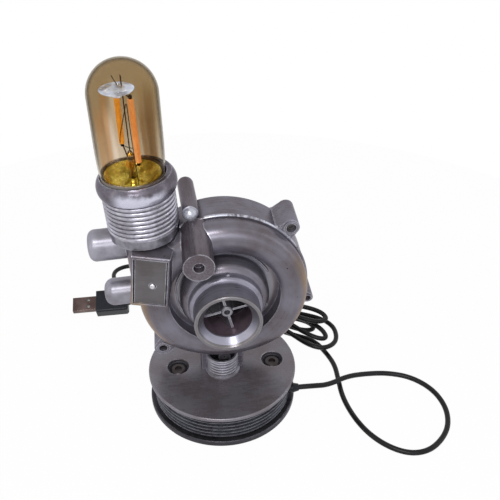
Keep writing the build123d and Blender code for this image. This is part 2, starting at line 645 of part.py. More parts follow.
# Wheel: a turned hub with twisted vanes trimmed to the wheel room, on its shaft
def build_wheel():
    back = WHEEL_BACK_S
    hub = turned([(0, back), (WHEEL_OUT_R, back), (WHEEL_OUT_R, back + WHEEL_DISC_T),
                  (8.2, 6.2, WHEEL_HUB_R + 0.4, 17.0), (WHEEL_HUB_R, WHEEL_HUB_S - 0.6),
                  (WHEEL_HUB_R - 0.6, WHEEL_HUB_S), (0, WHEEL_HUB_S)])
    low, mid, knee = WHEEL_CURVE_S
    edge = WHEEL_OUT_R - 0.15
    trim = turned([(0, back + 0.2), (edge, back + 0.2), (edge, low),
                   (WHEEL_TIP_R + WHEEL_CURVE_IN, mid, WHEEL_TIP_R, knee),
                   (WHEEL_TIP_R, WHEEL_FRONT_S + 1), (0, WHEEL_FRONT_S + 1)])
    stations = 5
    sections = []
    for k in range(stations):
        t = k / (stations - 1)
        s = WHEEL_FRONT_S + (back + 0.6 - WHEEL_FRONT_S) * t
        turn = VANE_TWIST * (1 - t) ** 2
        thick = VANE_T * (1 + 0.25 * t)
        reach = WHEEL_OUT_R + 3
        sections.append(Pos(0, 0, s) * Rot(0, 0, turn) * Pos(reach / 2 + 1, 0, 0) * Rectangle(reach, thick))
    vane = max((loft(sections) & trim).solids(), key=lambda s: s.volume)
    wheel = hub
    for k in range(VANE_COUNT):
        wheel = wheel + Rot(0, 0, VANE_FIRST - VANE_TWIST + 360 * k / VANE_COUNT) * vane
    wheel = wheel - rod(SHAFT_R, back - 1, WHEEL_HUB_S + 1)
    wheel = max(wheel.solids(), key=lambda s: s.volume)
    write(TURBO * wheel, "compressor_wheel")
    shaft = rod(SHAFT_R, SHAFT_BACK_S, SHAFT_FRONT_S)
    shaft = chamfer(shaft.edges().filter_by(GeomType.CIRCLE), 0.3)
    write(TURBO * shaft, "wheel_shaft")
    clip_front = -BUSH_LENGTH - 0.3
    clip = ring(CLIP_R, SHAFT_R, clip_front - CLIP_T, clip_front)
    clip = clip - Pos(0, CLIP_R / 2, clip_front) * Box(1.6, CLIP_R, 4)
    write(TURBO * clip, "shaft_clip")


# Switch: cover plate, switch body and the button in its guide
def build_switch():
    at = box_frame()
    floor = -POCKET_DEPTH
    face = -PLATE_RECESS
    back = face - SWITCH_PLATE_T
    plate_w = POCKET_W - 2 * PLATE_SIDE_GAP
    plate = Pos(0, 0, (face + back) / 2) * Box(plate_w, POCKET_H, SWITCH_PLATE_T)
    plate = plate - rod(BUTTON_R + SLIDE_GAP, back - 1, face + 1, BUTTON_X, BUTTON_UP)
    legs = [Pos(x, y, (back + floor) / 2) * Box(2.4, 3.0, back - floor)
            for x in (-plate_w / 2 + 1.2, plate_w / 2 - 1.2) for y in (-11.0, 11.0)]
    write(at * (plate + legs), "switch_plate")
    body_top = back - BUTTON_FLANGE_T - BUTTON_TRAVEL - 0.1
    behind = at * Pos(BUTTON_X, BUTTON_UP, 0)
    body = Pos(0, 0, (back + floor) / 2) * Box(SWITCH_BODY_W, SWITCH_BODY_H, back - floor)
    body = body - rod(BUTTON_FLANGE_R + SLIDE_GAP, body_top, back + 1)
    plunger_r = 1.0
    well = floor + 0.8
    body = body - rod(plunger_r + 2 * SLIDE_GAP, well, body_top + 1)
    write(behind * body, "switch_body")
    top = face + BUTTON_PROUD
    plunger_low = well + BUTTON_TRAVEL + 0.3
    rim_low = back - 0.02 - BUTTON_FLANGE_T
    button = turned([(0, plunger_low), (plunger_r, plunger_low), (plunger_r, rim_low),
                     (BUTTON_FLANGE_R, rim_low), (BUTTON_FLANGE_R, back - 0.02),
                     (BUTTON_R, back - 0.02), (BUTTON_R, top - 1.0),
                     (BUTTON_R * 0.75, top - 0.3, 0.4, top), (0, top)])
    write(behind * button, "switch_button")


# Bulb holder: threaded body, shade ring, contacts
def build_holder():
    low = HOLDER_LOW
    foot_top = low + HOLDER_FOOT_H
    thread_top = foot_top + THREAD_COUNT * THREAD_PITCH
    floor = low + HOLDER_FLOOR
    outline = [(0, low), (HOLDER_FOOT_R - 0.8, low), (HOLDER_FOOT_R, low + 0.8), (HOLDER_FOOT_R, foot_top)]
    for k in range(THREAD_COUNT):
        z = foot_top + k * THREAD_PITCH
        outline.append((THREAD_R - THREAD_DEPTH, z + 0.25))
        outline.append((THREAD_R, z + 0.38 * THREAD_PITCH, THREAD_R - THREAD_DEPTH, z + THREAD_PITCH - 0.25))
    outline.append((THREAD_R - THREAD_DEPTH, thread_top))
    outline.append((HOLDER_BORE_R, thread_top))
    outline.append((HOLDER_BORE_R, floor))
    outline.append((0, floor))
    body = turned(outline) - rod(LEAD_HOLE_R, low - 1, floor + 1, LEADS_X, 0)
    write(STAND * body, "holder_body")

    # The ring's outside follows the holder, its mouth the glass
    seat_r = THREAD_R - THREAD_DEPTH
    lip_r = GLASS_SEAT_R + GLASS_SEAT_GAP
    ring_low = thread_top
    shade = turned([(0, ring_low), (seat_r + 0.6, ring_low), (THREAD_R + 0.9, ring_low + 1.0),
                    (SHADE_RING_R, SHADE_RING_S, SHADE_CREST_R, SHADE_RING_TOP - 0.5),
                    (SHADE_CREST_R - 0.5, SHADE_RING_TOP), (0, SHADE_RING_TOP)])
    mouth_low = SHADE_RING_S - 2.0
    mouth_top = SHADE_RING_TOP + 1.6
    mouth = turned([(0, mouth_low), (HOLDER_BORE_R - 0.6, mouth_low), (lip_r, SHADE_RING_TOP - 4.0),
                    (lip_r, SHADE_RING_TOP - 1.2), (lip_r + 0.6, mouth_top), (0, mouth_top)])
    shade = STAND * (shade - rod(HOLDER_BORE_R, ring_low - 1, SHADE_RING_S - 1.0)) - BULB * mouth
    write(shade, "shade_ring")

    # The insulator's top is square to the bulb, and so are the contacts on it
    dish_r = CAP_R - 0.6
    shell_in = CAP_R + SHELL_GAP
    above = rod(2 * HOLDER_BORE_R, SHELL_LOW, SHADE_RING_TOP) + rod(dish_r, TIP_LOW - 0.2, SHELL_LOW + 1)
    block = rod(HOLDER_BORE_R, floor, SHELL_LOW + 3.0) - rod(LEAD_HOLE_R, low, SHELL_LOW, LEADS_X, 0)
    shell = ring(shell_in + SHELL_T, shell_in, SHELL_LOW, SHELL_TOP)
    shell = shell + ring(shell_in + SHELL_T + 0.6, shell_in, SHELL_LOW, SHELL_LOW + SHELL_T)
    write(BULB * shell, "holder_screw_shell")
    contact = BULB * rod(TIP_R - 0.8, floor + 1.0, TIP_LOW)
    write(STAND * block - BULB * above - contact, "holder_insulator")
    write(contact, "holder_centre_contact")


# Bulb: cap with its contact, drawn glass, stem, filaments and supports
def build_bulb():
    shoulder = GLASS_SHOULDER
    seat = GLASS_SEAT_R
    dome = GLASS_TOP - GLASS_R
    wall = GLASS_WALL
    slant = sqrt(0.5)

    def glass_profile(off):
        r = GLASS_R - off
        return [(GLASS_NECK_R - off, GLASS_LOW), (GLASS_NECK_R - off, GLASS_LOW + 1.2),
                (seat - 1.9 - off, GLASS_LOW + 4.6, seat - off, GLASS_LOW + 10.2),
                (seat + 0.5 - off, GLASS_LOW + 17.0, r, shoulder + 14), (r, dome),
                (r * slant, dome + r * slant, 0, dome + r)]

    outer = turned(glass_profile(0) + [(0, GLASS_LOW)])
    inner = turned(glass_profile(wall) + [(0, GLASS_LOW)])
    write(BULB * (outer - inner), "bulb_glass")

    cap_top = GLASS_LOW
    pitch = (cap_top - 4 - CAP_LOW - 2) / CAP_RIBS
    outline = [(0, CAP_LOW), (CAP_R - 1.4, CAP_LOW), (CAP_R - 0.7, CAP_LOW + 1.0)]
    for k in range(CAP_RIBS):
        z = CAP_LOW + 1.4 + k * pitch
        outline.append((CAP_R - 0.7, z))
        outline.append((CAP_R, z + 0.5 * pitch, CAP_R - 0.7, z + pitch))
    outline.append((CAP_R - 0.4, cap_top))
    outline.append((0, cap_top))
    cap = turned(outline) - rod(CAP_R - 0.7 - CAP_WALL, CAP_LOW + 0.6, cap_top + 1)
    write(BULB * cap, "bulb_cap")
    insulator = turned([(0, TIP_LOW + 0.8), (TIP_R, TIP_LOW + 0.8), (CAP_R - 2.0, CAP_LOW), (0, CAP_LOW)])
    write(BULB * insulator, "bulb_cap_insulator")
    tip = turned([(0, TIP_LOW), (TIP_R - 1.4, TIP_LOW), (TIP_R - 0.6, TIP_LOW + 0.8), (0, TIP_LOW + 0.8)])
    write(BULB * tip, "bulb_tip_contact")

    flare = STEM_FLARE_R
    inner_neck = GLASS_NECK_R - wall
    stem = turned([(0, GLASS_LOW), (inner_neck, GLASS_LOW), (inner_neck, GLASS_LOW + 1.0),
                   (STEM_R + 2.0, GLASS_LOW + 5.0, STEM_R, GLASS_LOW + 12.0),
                   (STEM_R, STEM_TOP - 2), (STEM_R * 0.5, STEM_TOP), (0, STEM_TOP)])
    inside_r = STEM_R - 1.1
    stem = stem - turned([(0, GLASS_LOW - 1), (inner_neck - 1.0, GLASS_LOW - 1),
                          (STEM_R + 0.6, GLASS_LOW + 5.0, inside_r, GLASS_LOW + 12.0),
                          (inside_r, STEM_TOP - 6), (0, STEM_TOP - 5)])
    wires = []
    rods = []
    for x, low, high in (FILAMENT_LEFT, FILAMENT_RIGHT):
        rods.append(rod(FILAMENT_R, low, high, x, 0))
    mast = rod(SUPPORT_R, STEM_TOP - 0.5, SUPPORT_TOP, 0, 0)
    for x, low, high in (FILAMENT_LEFT, FILAMENT_RIGHT):
        start = (0, 0, high + 4)
        end = (x, 0, high)
        wires.append(strut(start, end))
        foot_low = STEM_TOP - 4
        if low > foot_low:
            wires.append(strut((x * 0.4, 0, foot_low), (x, 0, low)))
        else:
            wires.append(strut((x * 0.5, 0, low - 3), (x, 0, low)))
    supports = mast
    for wire in wires:
        supports = supports + wire
    for bar in rods:
        supports = supports - bar
    supports = supports - stem
    write(BULB * stem, "bulb_stem")
    write(BULB * Compound(children=rods), "bulb_filaments")
    write(BULB * supports, "filament_supports")


def strut(start, end):
    path = Line(start, end)
    return sweep(Plane(origin=path @ 0, z_dir=path % 0) * Circle(SUPPORT_R), path=path)


# Cord
def corner_radii(points, share=0.45):
    """Fillet radius at each inner point: a share of the shorter run over the tangent of half the turn."""
    radii = []
    for a, b, c in zip(points, points[1:], points[2:]):
        before = Vector(*b) - Vector(*a)
        after = Vector(*c) - Vector(*b)
        turn = radians(before.get_angle(after))
        radii.append(share * min(before.length, after.length) / tan(turn / 2))
    return radii


def tube(points, radius, name):
    radii = corner_radii(points)
    path = FilletPolyline(*points, radius=radii)
    start = Plane(origin=path @ 0, z_dir=path % 0)
    shape = sweep(start * Circle(radius), path=path)
    worth = pi * radius ** 2 * path.length
    print(name, "length", round(path.length, 1), "least radius", round(min(radii), 1),
          "volume share", round(shape.volume / worth, 4))
    return shape


def middle(a, b):
    return tuple((p + q) / 2 for p, q in zip(a, b))


LOW = CORD_R + 0.05
LEAD_POINTS = [
    (34.0, EXIT_Y, EXIT_Z), (60.0, EXIT_Y, EXIT_Z), (73.0, -10.8, 7.6), (88.0, -3.2, 6.6), (103.0, 1.6, 2.6),
    (119.0, 1.4, LOW), (135.0, -4.6, LOW), (146.6, -17.8, LOW), (150.4, -34.4, LOW), (147.0, -50.2, LOW),
    (138.4, -61.8, LOW), (127.0, -69.8, LOW), (114.4, -70.8, LOW), (102.4, -64.4, LOW), (92.0, -52.4, LOW),
    (85.2, -36.2, LOW), (81.8, -17.4, LOW), (82.8, 0.0, LOW), (83.4, 14.0, LOW), (79.8, 27.2, LOW),
]


def hank_to_floor(u, n, z):
    """From the hank's own axes, u to the left along it and n away from the lamp, to the floor's."""
    a = radians(HANK_ANGLE)
    ux, uy = cos(a), sin(a)
    return (HANK_CENTRE[0] + u * ux + n * uy, HANK_CENTRE[1] + u * uy - n * ux, z)


# Each loop: reach to the left, its middle and half width there, the same to the right, and how far
# its right end sinks below its height at the waist
LOOPS = (
    (60.0, 2.0, 8.0, 68.0, 3.0, 6.5, 0.0),
    (116.0, 4.0, 17.0, 90.0, -10.0, 18.5, 0.0),
    (74.0, 3.0, 10.0, 82.0, -10.0, 7.5, 4.0),
    (66.0, -1.0, 8.0, 77.0, 6.0, 8.2, 4.0),
)
LOOP_STEPS = 12
CLIMB = {10: 0.3, 11: 0.75}


def hank_points():
    """Control points of the hank: for each loop twelve points round a dumbbell drawn in at its waist."""
    points = []
    for k in range(len(LOOPS)):
        left, left_mid, left_w, right, right_mid, right_w, sink = LOOPS[k]
        level = LOW + k * HANK_LIFT
        for step in range(LOOP_STEPS):
            angle = radians(360 * step / LOOP_STEPS)
            spread = sin(angle) ** 2
            z = level + TIE_LIFT * (1 - spread) + CLIMB.get(step, 0.0) * HANK_LIFT
            if sin(angle) > -1e-9:
                reach, mid, width = left, left_mid, left_w
            else:
                reach, mid, width = right, right_mid, right_w
                z = z - sink * spread
            n = mid * spread - cos(angle) * (HANK_WAIST + 2.6 * width * spread)
            points.append(hank_to_floor(reach * sin(angle), n, z))
    return points


TOP_LEVEL = LOW + len(LOOPS) * HANK_LIFT + TIE_LIFT
ENTRY_POINTS = [hank_to_floor(-70.5, -9.6, LOW), hank_to_floor(-49, -9.9, LOW), hank_to_floor(-25, -7.2, LOW)]
TAIL_POINTS = [hank_to_floor(0, -HANK_WAIST, TOP_LEVEL), hank_to_floor(17, -6.5, TOP_LEVEL - 0.8),
               hank_to_floor(34, -13.5, TOP_LEVEL - 4.0)]


def build_cord():
    hank = ENTRY_POINTS + hank_points() + TAIL_POINTS
    entry = middle(LEAD_POINTS[-1], hank[0])
    plug_end = Vector(*PLUG_AT)
    tip = plug_axis()
    far = plug_end - tip * 13.0
    tail = [(-32.0, 93.0, 12.4), (far.X, far.Y, far.Z), tuple(plug_end)]
    leaving = middle(hank[-1], tail[0])
    write(tube(LEAD_POINTS + [entry], CORD_R, "cord_lead"), "cord_lead")
    coil = tube([entry] + hank + [leaving], CORD_R, "cord_hank")
    write(coil, "cord_hank")
    write(tube([leaving] + tail, CORD_R, "cord_tail"), "cord_tail")
    report_least_gap([entry] + hank + [leaving])

    tie_low = HANK_TIE_T + 0.08
    tie_top = TOP_LEVEL + CORD_R + 0.3
    middle_z = (tie_low + tie_top) / 2
    room = Pos(0, 0, middle_z) * Box(HANK_TIE_W + 1, 2 * HANK_TIE_SIDE, tie_top - tie_low)
    grow = 2 * HANK_TIE_T
    band = Pos(0, 0, middle_z) * Box(HANK_TIE_W, 2 * HANK_TIE_SIDE + grow, tie_top - tie_low + grow)
    band = fillet(band.edges().filter_by(Axis.X), 1.0) - room
    head = Pos(0, 0, tie_top + HANK_TIE_T + 1.2) * Box(HANK_TIE_W, 5.0, 2.4)
    head = fillet(head.edges().filter_by(Axis.Z), 0.8)
    at = Location((HANK_CENTRE[0], HANK_CENTRE[1], 0), (0, 0, HANK_ANGLE))
    write(at * (band + head), "hank_tie")


def report_least_gap(points):
    """Least gap between parts of the hank that aren't neighbours along it."""
    path = FilletPolyline(*points, radius=corner_radii(points))
    count = 900
    spots = [path.position_at(k / count) for k in range(count + 1)]
    step = path.length / count
    apart = int(30 / step)
    least = 1e9
    for i in range(0, count + 1):
        for j in range(i + apart, count + 1):
            a = spots[i]
            b = spots[j]
            if abs(a.X - b.X) < least and abs(a.Y - b.Y) < least:
                least = min(least, (a - b).length)
    print("hank least gap to itself", round(least - 2 * CORD_R, 2))


# Plug on the cord's end
def plug_axis():
    a = radians(PLUG_TIP_ANGLE)
    p = radians(PLUG_PITCH)
    return Vector(cos(a) * cos(p), sin(a) * cos(p), -sin(p))


def plug_frame():
    tip = plug_axis()
    flat = Vector(0, 0, 1)
    side = tip.cross(flat).normalized()
    up = side.cross(tip).normalized()
    roll = radians(PLUG_ROLL)
    normal = up * cos(roll) - side * sin(roll)
    if normal.Y > 0:
        normal = up * cos(roll) + side * sin(roll)
    return Location(Plane(origin=PLUG_AT, x_dir=tip, z_dir=normal))


def build_plug():
    at = plug_frame()
    body = Pos(RELIEF_LENGTH + PLUG_LENGTH / 2, 0, 0) * Box(PLUG_LENGTH, PLUG_W, PLUG_T)
    body = fillet(body.edges().filter_by(Axis.X), 1.6)
    body = chamfer(body.edges().group_by(Axis.X)[0], 1.3)
    cone = turned([(0, 0), (CORD_R + 0.5, 0), (CORD_R + 1.6, RELIEF_LENGTH), (0, RELIEF_LENGTH)])
    cone = Rot(0, 90, 0) * cone
    start = RELIEF_LENGTH + PLUG_LENGTH
    shell = Pos(start + SHELL_LENGTH / 2, 0, 0) * Box(SHELL_LENGTH, SHELL_W, SHELL_H)
    shell = fillet(shell.edges().filter_by(Axis.X), 0.5)
    inner_w = SHELL_W - 2 * SHELL_WALL
    inner_h = SHELL_H - 2 * SHELL_WALL
    shell = shell - Pos(start + SHELL_LENGTH / 2, 0, 0) * Box(SHELL_LENGTH + 1, inner_w, inner_h)
    for y in (-2.8, 2.8):
        for z in (-SHELL_H / 2, SHELL_H / 2):
            shell = shell - Pos(start + 6.6, y, z) * Box(2.4, 2.1, 1.0)
    write(at * (body + cone), "plug_body")
    write(at * shell, "plug_shell")
    tongue_t = 1.8
    tongue_low = -SHELL_H / 2 + SHELL_WALL
    tongue_l = SHELL_LENGTH - 1
    tongue = Pos(start + tongue_l / 2, 0, tongue_low + tongue_t / 2) * Box(tongue_l, inner_w - 0.2, tongue_t)
    write(at * tongue, "plug_tongue")
    strips = [Pos(start + SHELL_LENGTH - 5.5, y, tongue_low + tongue_t + 0.1) * Box(7.0, 1.2, 0.2)
              for y in (-3.5, -1.0, 1.0, 3.5)]
    write(at * Compound(children=strips), "plug_contacts")


# Inner lead from the grommet up to the chamber behind the wheel
def build_inner_lead():
    chamber_z = AXIS_Z - CHAMBER_R
    points = [LEAD_POINTS[0], (21.0, EXIT_Y, EXIT_Z), (10.0, -8.0, 10.4), (-3.0, 3.0, 9.8),
              (LEAD_X, LEAD_Y, 12.6), (LEAD_X, LEAD_Y, chamber_z + 8)]
    write(tube(points, LEAD_R, "inner_lead"), "inner_lead")


build_base()
build_column()
build_housing()
build_wheel()
build_switch()
build_holder()
build_bulb()
build_cord()
build_plug()
build_inner_lead()
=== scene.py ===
# %% [markdown]
# This file dresses a desk lamp that is shaped like a small turbocharger. Its solids come from CAD and
# stay where they are. Blender gives them their finishes, and makes anew what CAD keeps plain: the
# cord, the glass of the bulb and the fine parts inside it. Everything is in metres, in the CAD frame.

# %% Load the fixed frame
import json
import math

import bmesh
import bpy
from mathutils import Matrix, Vector


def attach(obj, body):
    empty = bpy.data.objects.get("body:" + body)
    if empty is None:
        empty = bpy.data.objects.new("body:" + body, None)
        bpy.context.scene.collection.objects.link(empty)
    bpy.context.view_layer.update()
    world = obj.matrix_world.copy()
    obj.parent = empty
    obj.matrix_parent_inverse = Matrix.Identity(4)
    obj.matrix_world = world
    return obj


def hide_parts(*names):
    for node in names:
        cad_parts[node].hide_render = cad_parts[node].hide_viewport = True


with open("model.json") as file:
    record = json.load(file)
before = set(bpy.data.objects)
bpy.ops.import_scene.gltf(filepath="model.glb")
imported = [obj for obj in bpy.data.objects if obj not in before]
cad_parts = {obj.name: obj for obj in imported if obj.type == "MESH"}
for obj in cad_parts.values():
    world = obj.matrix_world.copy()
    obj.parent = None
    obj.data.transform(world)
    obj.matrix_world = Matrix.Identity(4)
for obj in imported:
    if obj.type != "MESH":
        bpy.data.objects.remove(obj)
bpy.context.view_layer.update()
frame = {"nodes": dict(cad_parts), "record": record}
nodes = frame["nodes"]
scene = bpy.context.scene
scene.view_settings.view_transform = "Standard"

# %% [markdown]
# The camera stands where the photograph was taken: in front of the lamp, a little to its left, and
# high enough to look down on the base. A lens is fixed by its angle of view, so the same picture
# comes back at any size. Where it stands, which way it looks and its lens were fitted to outlines in
# the photograph.

# %% Camera
CAMERA_AT = Vector((-0.02239, -0.3489, 0.36478))
LOOK_DOWN = math.radians(34.92)
LOOK_RIGHT = math.radians(6.8)
LENS_MM = 50.4
SENSOR_MM = 36.0

camera_data = bpy.data.cameras.new("photo_camera")
camera_data.lens = LENS_MM
camera_data.sensor_width = SENSOR_MM
camera_data.clip_start = 0.01
camera = bpy.data.objects.new("photo_camera", camera_data)
camera.location = CAMERA_AT
camera.rotation_euler = (math.pi / 2 - LOOK_DOWN, 0.0, -LOOK_RIGHT)
scene.collection.objects.link(camera)
scene.camera = camera
print("camera at", tuple(round(v, 3) for v in CAMERA_AT))

# %% [markdown]
# The cord is a round black lead of 3.6 mm. It leaves the base through a grommet, makes one wide loop
# on the table, and comes back to a hank behind the lamp. Its free run is given point by point to
# follow the photograph. A smooth line bends it between the same control points as in the CAD model,
# because a cord has no corners.

# %% The cord's free run
CORD_R = 0.0018
LOW = CORD_R + 0.00005      # height of the cord's middle where it lies on the table
LEAD_POINTS = [
    (0.0500, -0.0145, 0.0120), (0.0600, -0.0145, 0.0120), (0.0730, -0.0108, 0.0076),
    (0.0880, -0.0032, 0.0066), (0.1030, 0.0016, 0.0026), (0.1190, 0.0014, LOW),
    (0.1350, -0.0046, LOW), (0.1466, -0.0178, LOW), (0.1504, -0.0344, LOW),
    (0.1470, -0.0502, LOW), (0.1384, -0.0618, LOW), (0.1270, -0.0698, LOW),
    (0.1144, -0.0708, LOW), (0.1024, -0.0644, LOW), (0.0920, -0.0524, LOW),
    (0.0852, -0.0362, LOW), (0.0818, -0.0174, LOW), (0.0828, 0.0000, LOW),
    (0.0834, 0.0140, LOW), (0.0798, 0.0272, LOW),
]
print("free run:", len(LEAD_POINTS), "control points")

# %% [markdown]
# The rest of the cord is a hank: flattened loops, one on the other, drawn in by a tie at their
# middle. How many the real hank has can't be counted, so four is a guess. A formula lays them,
# because points set by hand would run into each other. Each loop is a long oval with a pinched
# waist, and over its last steps it climbs to the level of the next.

# %% The hank
HANK_CENTRE = (0.0165, 0.0846)
HANK_ANGLE = math.radians(150.9)
HANK_LIFT = 0.0046          # from one loop to the next above it
TIE_LIFT = 0.0015           # how much higher the loops run at the tie
HANK_WAIST = 0.0018         # half the distance between a loop's two runs at the tie
BULGE = 2.6                 # the largest cos times sin squared is 1 over this
TINY = 1e-9


def hank_to_floor(along, across, height):
    """From the hank's own directions to the frame's."""
    ux, uy = math.cos(HANK_ANGLE), math.sin(HANK_ANGLE)
    return (HANK_CENTRE[0] + along * ux + across * uy,
            HANK_CENTRE[1] + along * uy - across * ux, height)


# Left reach, middle and half width, the same three to the right, and how far the right end sinks
LOOPS = (
    (0.060, 0.002, 0.0080, 0.068, 0.003, 0.0065, 0.000),
    (0.116, 0.004, 0.0170, 0.090, -0.010, 0.0185, 0.000),
    (0.074, 0.003, 0.0100, 0.082, -0.010, 0.0075, 0.004),
    (0.066, -0.001, 0.0080, 0.077, 0.006, 0.0082, 0.004),
)
LOOP_STEPS = 12
CLIMB = {10: 0.3, 11: 0.75}     # how much of HANK_LIFT the last steps of a loop have climbed


def hank_points():
    """Twelve control points for each loop, round a shape that is drawn in at its waist."""
    points = []
    for k, (left, left_mid, left_w, right, right_mid, right_w, sink) in enumerate(LOOPS):
        for step in range(LOOP_STEPS):
            angle = 2 * math.pi * step / LOOP_STEPS
            spread = math.sin(angle) ** 2
            height = LOW + k * HANK_LIFT + TIE_LIFT * (1 - spread) + CLIMB.get(step, 0.0) * HANK_LIFT
            reach, mid, width = left, left_mid, left_w
            if math.sin(angle) < -TINY:
                reach, mid, width = right, right_mid, right_w
                height -= sink * spread
            across = mid * spread - math.cos(angle) * (HANK_WAIST + BULGE * width * spread)
            points.append(hank_to_floor(reach * math.sin(angle), across, height))
    return points


hank = hank_points()
print("hank:", len(LOOPS), "loops,", len(hank), "control points")

# %% [markdown]
# A few points more lead the cord from its free run in under the hank, and from the top loop down
# into the back of the plug. The plug lies almost flat, and the cord runs straight for a short way
# behind it, as the moulding of a real plug makes it do.

# %% The whole route
TOP_LEVEL = LOW + len(LOOPS) * HANK_LIFT + TIE_LIFT
ENTRY_POINTS = [
    hank_to_floor(-0.0705, -0.0096, LOW), hank_to_floor(-0.049, -0.0099, LOW),
    hank_to_floor(-0.025, -0.0072, LOW),
]
LEAVING_POINTS = [
    hank_to_floor(0.0, -HANK_WAIST, TOP_LEVEL), hank_to_floor(0.017, -0.0065, TOP_LEVEL - 0.0008),
    hank_to_floor(0.034, -0.0135, TOP_LEVEL - 0.0040),
]
PLUG_AT = Vector((-0.0595, 0.0970, 0.0097))     # where the cord ends, in the back of the plug
PLUG_TIP_ANGLE = math.radians(179.0)
PLUG_PITCH = math.radians(1.9)
PLUG_RUN = 0.013                                # the straight run of the cord behind that place
plug_tip = Vector((math.cos(PLUG_TIP_ANGLE) * math.cos(PLUG_PITCH),
                   math.sin(PLUG_TIP_ANGLE) * math.cos(PLUG_PITCH), -math.sin(PLUG_PITCH)))
TAIL_POINTS = [(-0.032, 0.093, 0.0124), tuple(PLUG_AT - plug_tip * PLUG_RUN), tuple(PLUG_AT)]
route = LEAD_POINTS + ENTRY_POINTS + hank + LEAVING_POINTS + TAIL_POINTS
print("cord control points:", len(route))

# %% [markdown]
# A curve with a round bevel is a cord that keeps its thickness in every bend. The thickness is given
# as the radius of each point, because Blender widens a curve's box by that radius. The spline's order
# is set after its points, because a new spline with few points would fall back to straight runs.

# %% The cord
def smooth_curve(name, points, radius, resolution=10, bevel=6):
    """A NURBS tube whose control points are the given points."""
    curve = bpy.data.curves.new(name, "CURVE")
    curve.dimensions = "3D"
    curve.bevel_depth = 1.0
    curve.bevel_resolution = bevel
    curve.use_fill_caps = True
    spline = curve.splines.new("NURBS")
    spline.points.add(len(points) - 1)
    for knot, point in zip(spline.points, points):
        knot.co = (*point, 1.0)
        knot.radius = radius
    spline.order_u = 3
    spline.use_endpoint_u = True
    spline.resolution_u = resolution
    piece = bpy.data.objects.new(name, curve)
    scene.collection.objects.link(piece)
    return piece


cord = smooth_curve("desk_cord", route, CORD_R)
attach(cord, "lamp")
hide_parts("cord_lead", "cord_hank", "cord_tail")
print("cord made")

# %% [markdown]
# Most new parts of the bulb are round, and round things are spun: a profile of a few points is turned
# about an axis. The helpers below weld the seam, turn the faces outwards, and then move the mesh to
# its place, so that the finished object itself stays at the origin. The bulb's place is that of the
# holder, which leans to the left, turned back a little about a pivot high on its axis.

# %% Spinning profiles
WELD = 1e-6
SMOOTH_ANGLE = math.radians(40.0)


def finish_mesh(name, mesh_work, place):
    """Turns a bmesh into an object whose place is in its mesh."""
    bmesh.ops.remove_doubles(mesh_work, verts=mesh_work.verts, dist=WELD)
    bmesh.ops.recalc_face_normals(mesh_work, faces=mesh_work.faces)
    bmesh.ops.transform(mesh_work, matrix=place, verts=mesh_work.verts)
    mesh = bpy.data.meshes.new(name)
    mesh_work.to_mesh(mesh)
    mesh_work.free()
    for polygon in mesh.polygons:
        polygon.use_smooth = True
    mesh.set_sharp_from_angle(angle=SMOOTH_ANGLE)
    piece = bpy.data.objects.new(name, mesh)
    scene.collection.objects.link(piece)
    return piece


def spun(name, profile, place, steps=96, closed=False):
    """Spins (radius, height) points about local Z. A closed profile makes a ring or a shell."""
    work = bmesh.new()
    verts = [work.verts.new((r, 0.0, z)) for r, z in profile]
    edges = [work.edges.new(pair) for pair in zip(verts, verts[1:])]
    if closed:
        edges.append(work.edges.new((verts[-1], verts[0])))
    bmesh.ops.spin(work, geom=verts + edges, cent=(0, 0, 0), axis=(0, 0, 1), dvec=(0, 0, 0),
                   angle=2 * math.pi, steps=steps, use_merge=True, use_normal_flip=False,
                   use_duplicate=False)
    return finish_mesh(name, work, place)


def arc(centre_r, centre_z, radius, start, end, count):
    """Points on a circular arc of a profile, angles in degrees from the radial direction."""
    turns = [math.radians(start + (end - start) * k / count) for k in range(count + 1)]
    return [(centre_r + radius * math.cos(t), centre_z + radius * math.sin(t)) for t in turns]


LEAN = math.radians(3.2)
STAND_X = -0.0352           # where the holder's axis meets the table
BULB_TILT = math.radians(2.2)
BULB_PIVOT = 0.214
stand_place = Matrix.Translation((STAND_X, 0, 0)) @ Matrix.Rotation(-LEAN, 4, "Y")
bulb_place = (stand_place @ Matrix.Translation((0, 0, BULB_PIVOT))
              @ Matrix.Rotation(BULB_TILT, 4, "Y") @ Matrix.Translation((0, 0, -BULB_PIVOT)))
print("bulb axis", tuple(round(v, 4) for v in bulb_place.to_3x3() @ Vector((0, 0, 1))))

# %% [markdown]
# The glass is a real shell with an outer and an inner wall, because light bends at both. One closed
# profile runs up the outside to the dome's pole and back down the inside. The points of each pole,
# which spinning would leave on one spot, become one in the weld.

# %% Bulb glass
GLASS_R = 0.0190
GLASS_SEAT_R = 0.0182
GLASS_NECK_R = 0.0129
GLASS_LOW = 0.167
GLASS_TOP = 0.2428
GLASS_WALL = 0.0008
DOME_AT = GLASS_TOP - GLASS_R
DOME_STEPS = 24


def glass_wall(inset):
    """Half of the glass's section, from its neck to the top of the dome."""
    seat, neck = GLASS_SEAT_R - inset, GLASS_NECK_R - inset
    lower = [(neck, GLASS_LOW), (neck, GLASS_LOW + 0.0012), (neck + 0.0012, GLASS_LOW + 0.0024),
             (seat - 0.0019, GLASS_LOW + 0.0050), (seat - 0.0005, GLASS_LOW + 0.0076),
             (seat, GLASS_LOW + 0.0102)]
    upper = [(seat + 0.0005, 0.1840), (GLASS_R - inset - 0.00005, 0.1930),
             (GLASS_R - inset, 0.1980)]
    dome = arc(0.0, DOME_AT, GLASS_R - inset, 0.0, 90.0, DOME_STEPS)
    dome[-1] = (0.0, dome[-1][1])
    return lower + upper + dome


outside = glass_wall(0.0)
inside = glass_wall(GLASS_WALL)
glass = spun("glass_envelope", outside + inside[::-1], bulb_place, steps=128, closed=True)
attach(glass, "bulb")
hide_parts("bulb_glass")
print("glass faces:", len(glass.data.polygons))

